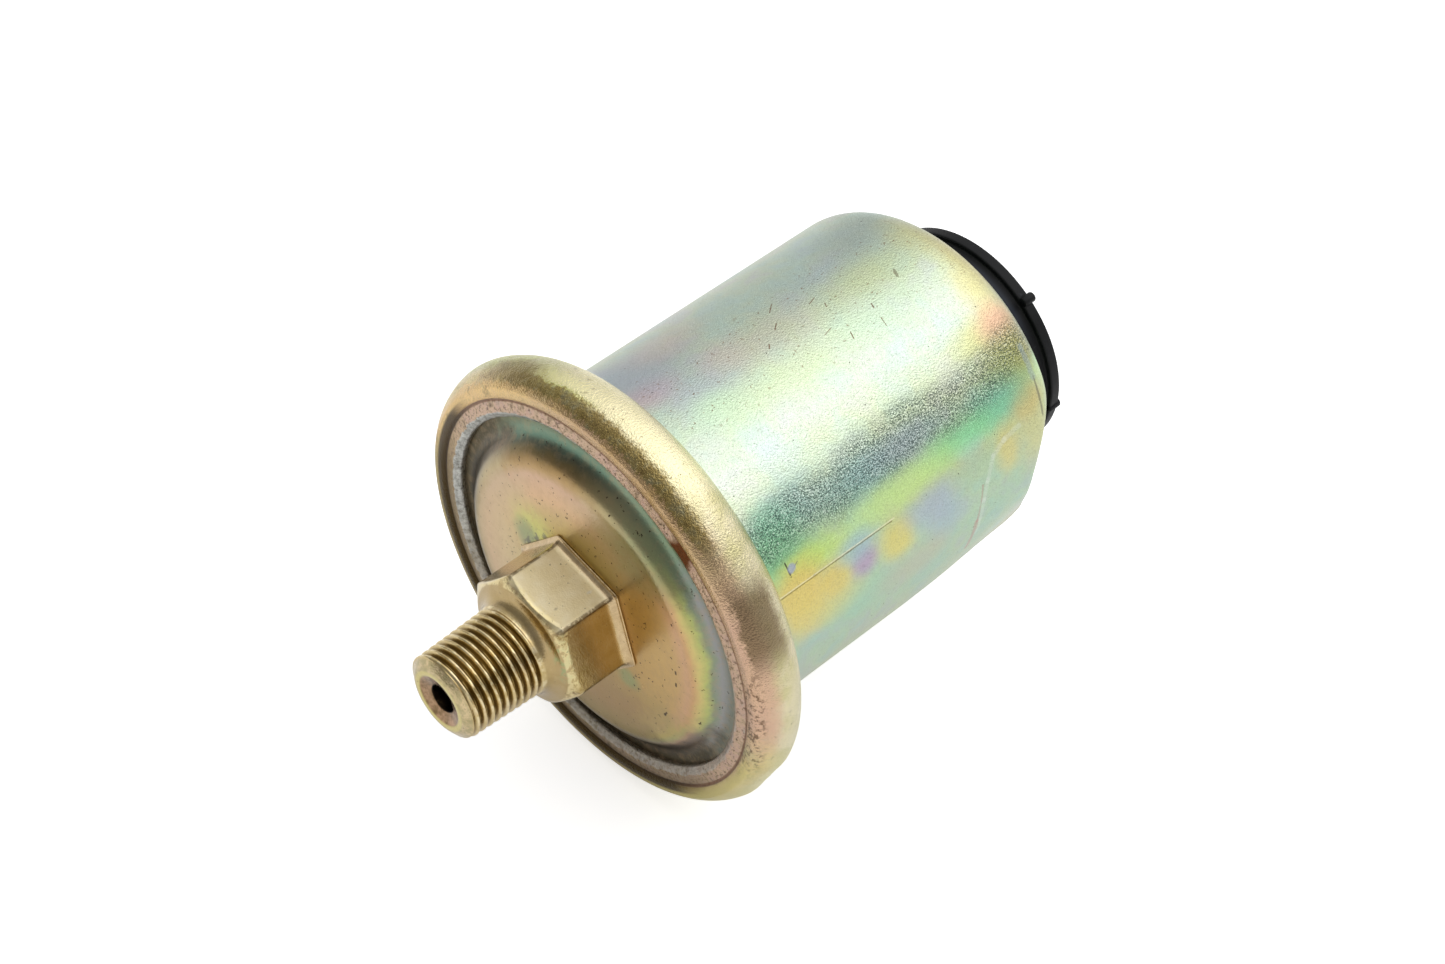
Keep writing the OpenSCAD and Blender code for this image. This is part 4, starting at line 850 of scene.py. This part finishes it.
# ---------------------------------------------------------------- terminal
def make_stud():
    segments = 72
    rows = []
    profile = [(56.9, 0.0001), (56.9, 1.7), (57.2, 2.0), (67.5, 2.0)]
    for x, r in profile:
        rows.append([(x, r * math.cos(2 * math.pi * k / segments), r * math.sin(2 * math.pi * k / segments)) for k in range(segments)])

    def hexed(x, apothem, cap_r):
        row = []
        for k in range(segments):
            phi = 2 * math.pi * k / segments
            local = (math.degrees(phi) - 10) % 60
            r = min(apothem / math.cos(math.radians(local - 30)), cap_r)
            row.append((x, r * math.cos(phi), r * math.sin(phi)))
        rows.append(row)

    for x, cap_r in ((67.5, 4.3), (67.6, 4.5), (67.75, 4.62), (68.65, 4.62), (68.8, 4.5), (68.9, 4.25)):
        hexed(x, 4.0, cap_r)
    pitch, free_start, free_end = 0.7, 69.2, 75.6
    rows.append([(68.9, 1.85 * math.cos(2 * math.pi * k / segments), 1.85 * math.sin(2 * math.pi * k / segments)) for k in range(segments)])
    steps = 90
    for i in range(steps + 1):
        x = free_start + (free_end - free_start) * i / steps
        row = []
        for k in range(segments):
            phi = 2 * math.pi * k / segments
            wave = abs(((x / pitch - k / segments) % 1.0) - 0.5) * 2
            fade = smooth_step(x, free_start, free_start + 0.5) * (1 - smooth_step(x, free_end - 0.4, free_end))
            r = 2.0 - 0.36 * smooth_step(1 - wave, 0.1, 0.9) * fade - (0.15 if i in (0,) else 0.0)
            row.append((x, r * math.cos(phi), r * math.sin(phi)))
        rows.append(row)
    for x, r in ((75.75, 1.85), (75.9, 1.6), (75.9, 0.0001)):
        rows.append([(x, r * math.cos(2 * math.pi * k / segments), r * math.sin(2 * math.pi * k / segments)) for k in range(segments)])
    piece = build("terminal", rows)
    sharp(piece, 35)
    return piece


def plain_metal(name, dark, mean, light, rough=(0.28, 0.45), grain_mm=0.4):
    s = Shader(name)
    mid = s.noise(1.8, 3.0, 0.6)
    fine = s.noise(grain_mm, 3.0, 0.6)
    colour = s.ramp(mid, [(0.3, dark), (0.5, mean), (0.72, light)])
    colour = s.mix(s.math("MULTIPLY", s.step(fine, 0.62, 0.72), 0.4), colour, dark)
    return s.finish(colour, s.blend(fine, *rough), 1.0, [(fine, 0.01, 0.4), (mid, 0.03, 0.15)])


def plain_dull(name, dark, light, rough=(0.6, 0.85), grain_mm=0.5):
    s = Shader(name)
    mid = s.noise(2.0, 3.0, 0.6)
    fine = s.noise(grain_mm, 3.0, 0.6)
    colour = s.ramp(mid, [(0.3, dark), (0.7, light)])
    colour = s.mix(s.math("MULTIPLY", s.step(fine, 0.6, 0.75), 0.3), colour, light)
    return s.finish(colour, s.blend(fine, *rough), 0.0, [(fine, 0.02, 0.5)])


brass = plain_metal("brass", srgb(150, 118, 62), srgb(196, 164, 94), srgb(220, 194, 130))
bright = plain_metal("bright_steel", srgb(130, 130, 128), srgb(182, 182, 180), srgb(206, 206, 202))
spring = plain_metal("spring_steel", srgb(96, 98, 102), srgb(140, 142, 146), srgb(172, 174, 178))
silver = plain_metal("contact_silver", srgb(190, 188, 182), srgb(216, 214, 208), srgb(230, 228, 222))
winding = plain_metal("resistance_wire", srgb(96, 70, 46), srgb(140, 108, 74), srgb(166, 134, 96), grain_mm=0.2)
board = plain_dull("card_board", srgb(84, 48, 24), srgb(124, 78, 44))
rubber = plain_dull("gasket_rubber", srgb(20, 20, 21), srgb(40, 40, 42))

stud = make_stud()
stands_for(stud, "terminal_stud", "housing", brass)

CARRIED = {
    "restrictor": brass, "lead_strip": brass, "inner_nut": brass, "rocker": brass,
    "gasket": rubber, "cap_seal": rubber, "resistor_card": board, "inner_insulator": board,
    "resistor_winding": winding, "wiper_contact": silver, "diaphragm": spring, "return_spring": spring,
    "clamp_ring": bright, "push_pin": bright, "bridge_frame": bright, "pivot_pin": bright,
    "card_rivets": bright, "adjuster_screw": bright, "lock_washer": bright,
}
for node_name, material in CARRIED.items():
    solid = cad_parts[node_name]
    solid.data.materials.clear()
    solid.data.materials.append(material)


# ---------------------------------------------------------------- floor and light
def make_floor():
    mesh = bpy.data.meshes.new("floor")
    size = 3.0
    z = FLOOR_Z * MM
    mesh.from_pydata([(-size, -size, z), (size, -size, z), (size, size, z), (-size, size, z)], [], [(0, 1, 2, 3)])
    floor = bpy.data.objects.new("floor", mesh)
    bpy.context.scene.collection.objects.link(floor)
    s = Shader("floor")
    s.put(s.bsdf.inputs["Base Color"], (0.85, 0.85, 0.85, 1))
    s.put(s.bsdf.inputs["Roughness"], 0.9)
    s.put(s.bsdf.inputs["Specular IOR Level"], 0.1)
    path = s.add("LightPath").outputs
    seen = s.math("ADD", s.math("MULTIPLY", path["Is Camera Ray"], 0.65), s.math("MULTIPLY", path["Is Glossy Ray"], 0.25))
    s.put(s.bsdf.inputs["Emission Color"], (1, 1, 1, 1))
    s.put(s.bsdf.inputs["Emission Strength"], seen)
    mesh.materials.append(s.material)


def make_world():
    """A plain studio: a dim horizon, a wide soft overhead light, white where the camera looks."""
    world = bpy.data.worlds.new("world")
    world.use_nodes = True
    bpy.context.scene.world = world
    nodes, links = world.node_tree.nodes, world.node_tree.links

    def node(kind, values=(), **settings):
        made = nodes.new("ShaderNode" + kind)
        for key, value in settings.items():
            setattr(made, key, value)
        for key, value in dict(values).items():
            if isinstance(value, bpy.types.NodeSocket):
                links.new(value, made.inputs[key])
            else:
                made.inputs[key].default_value = value
        return made.outputs[0]

    split = node("SeparateXYZ", {0: node("TexCoord")}).node.outputs
    sky = node("Math", {0: split[2], 1: split[1]}, operation="ARCTAN2")
    sky = node("Math", {0: sky, 1: math.pi}, operation="DIVIDE")
    ramp = node("ValToRGB", {0: sky}).node
    ramp.color_ramp.interpolation = "EASE"
    while len(ramp.color_ramp.elements) < len(SKY):
        ramp.color_ramp.elements.new(1.0)
    for element, (degrees, level) in zip(ramp.color_ramp.elements, SKY):
        element.position = degrees / 180
        element.color = (level / 2, level / 2, level / 2, 1)
    side = node("MapRange", {0: split[0], 1: ROOM_FROM, 2: ROOM_TO}, interpolation_type="SMOOTHSTEP")
    front = node("ValToRGB", {0: split[2]}).node
    while len(front.color_ramp.elements) < len(ROOM):
        front.color_ramp.elements.new(1.0)
    for element, (height, level) in zip(front.color_ramp.elements, ROOM):
        element.position = height
        element.color = (level / 2, level / 2, level / 2, 1)
    over = node("Mix", {0: side, 2: front.outputs[0], 3: ramp.outputs[0]}, data_type="FLOAT")
    background = nodes["Background"]
    links.new(over, background.inputs[0])
    background.inputs[1].default_value = 2.0
    white = node("Background", {0: (1, 1, 1, 1)})
    camera_ray = node("LightPath")
    mixed = node("MixShader", {0: camera_ray, 1: background.outputs[0], 2: white})
    links.new(mixed, nodes["World Output"].inputs[0])


# Level of the surroundings by degrees from the +Y horizon over the top to the -Y horizon
SKY = [(0, 0.62), (19, 0.66), (35, 0.76), (51, 0.97), (67, 1.25), (83, 1.47), (99, 1.7), (117, 1.8), (133, 1.72),
       (142, 0.85), (151, 0.54), (165, 0.5), (180, 0.68)]
# Towards -X the light gives way to a dim room, whose level goes by height; where it begins and ends along X
ROOM = [(0.0, 0.46), (0.12, 0.42), (0.3, 0.34), (0.6, 0.28), (1.0, 0.4)]
ROOM_FROM, ROOM_TO = -0.4, -0.06

make_floor()
make_world()
bpy.context.scene.view_settings.view_transform = "Standard"
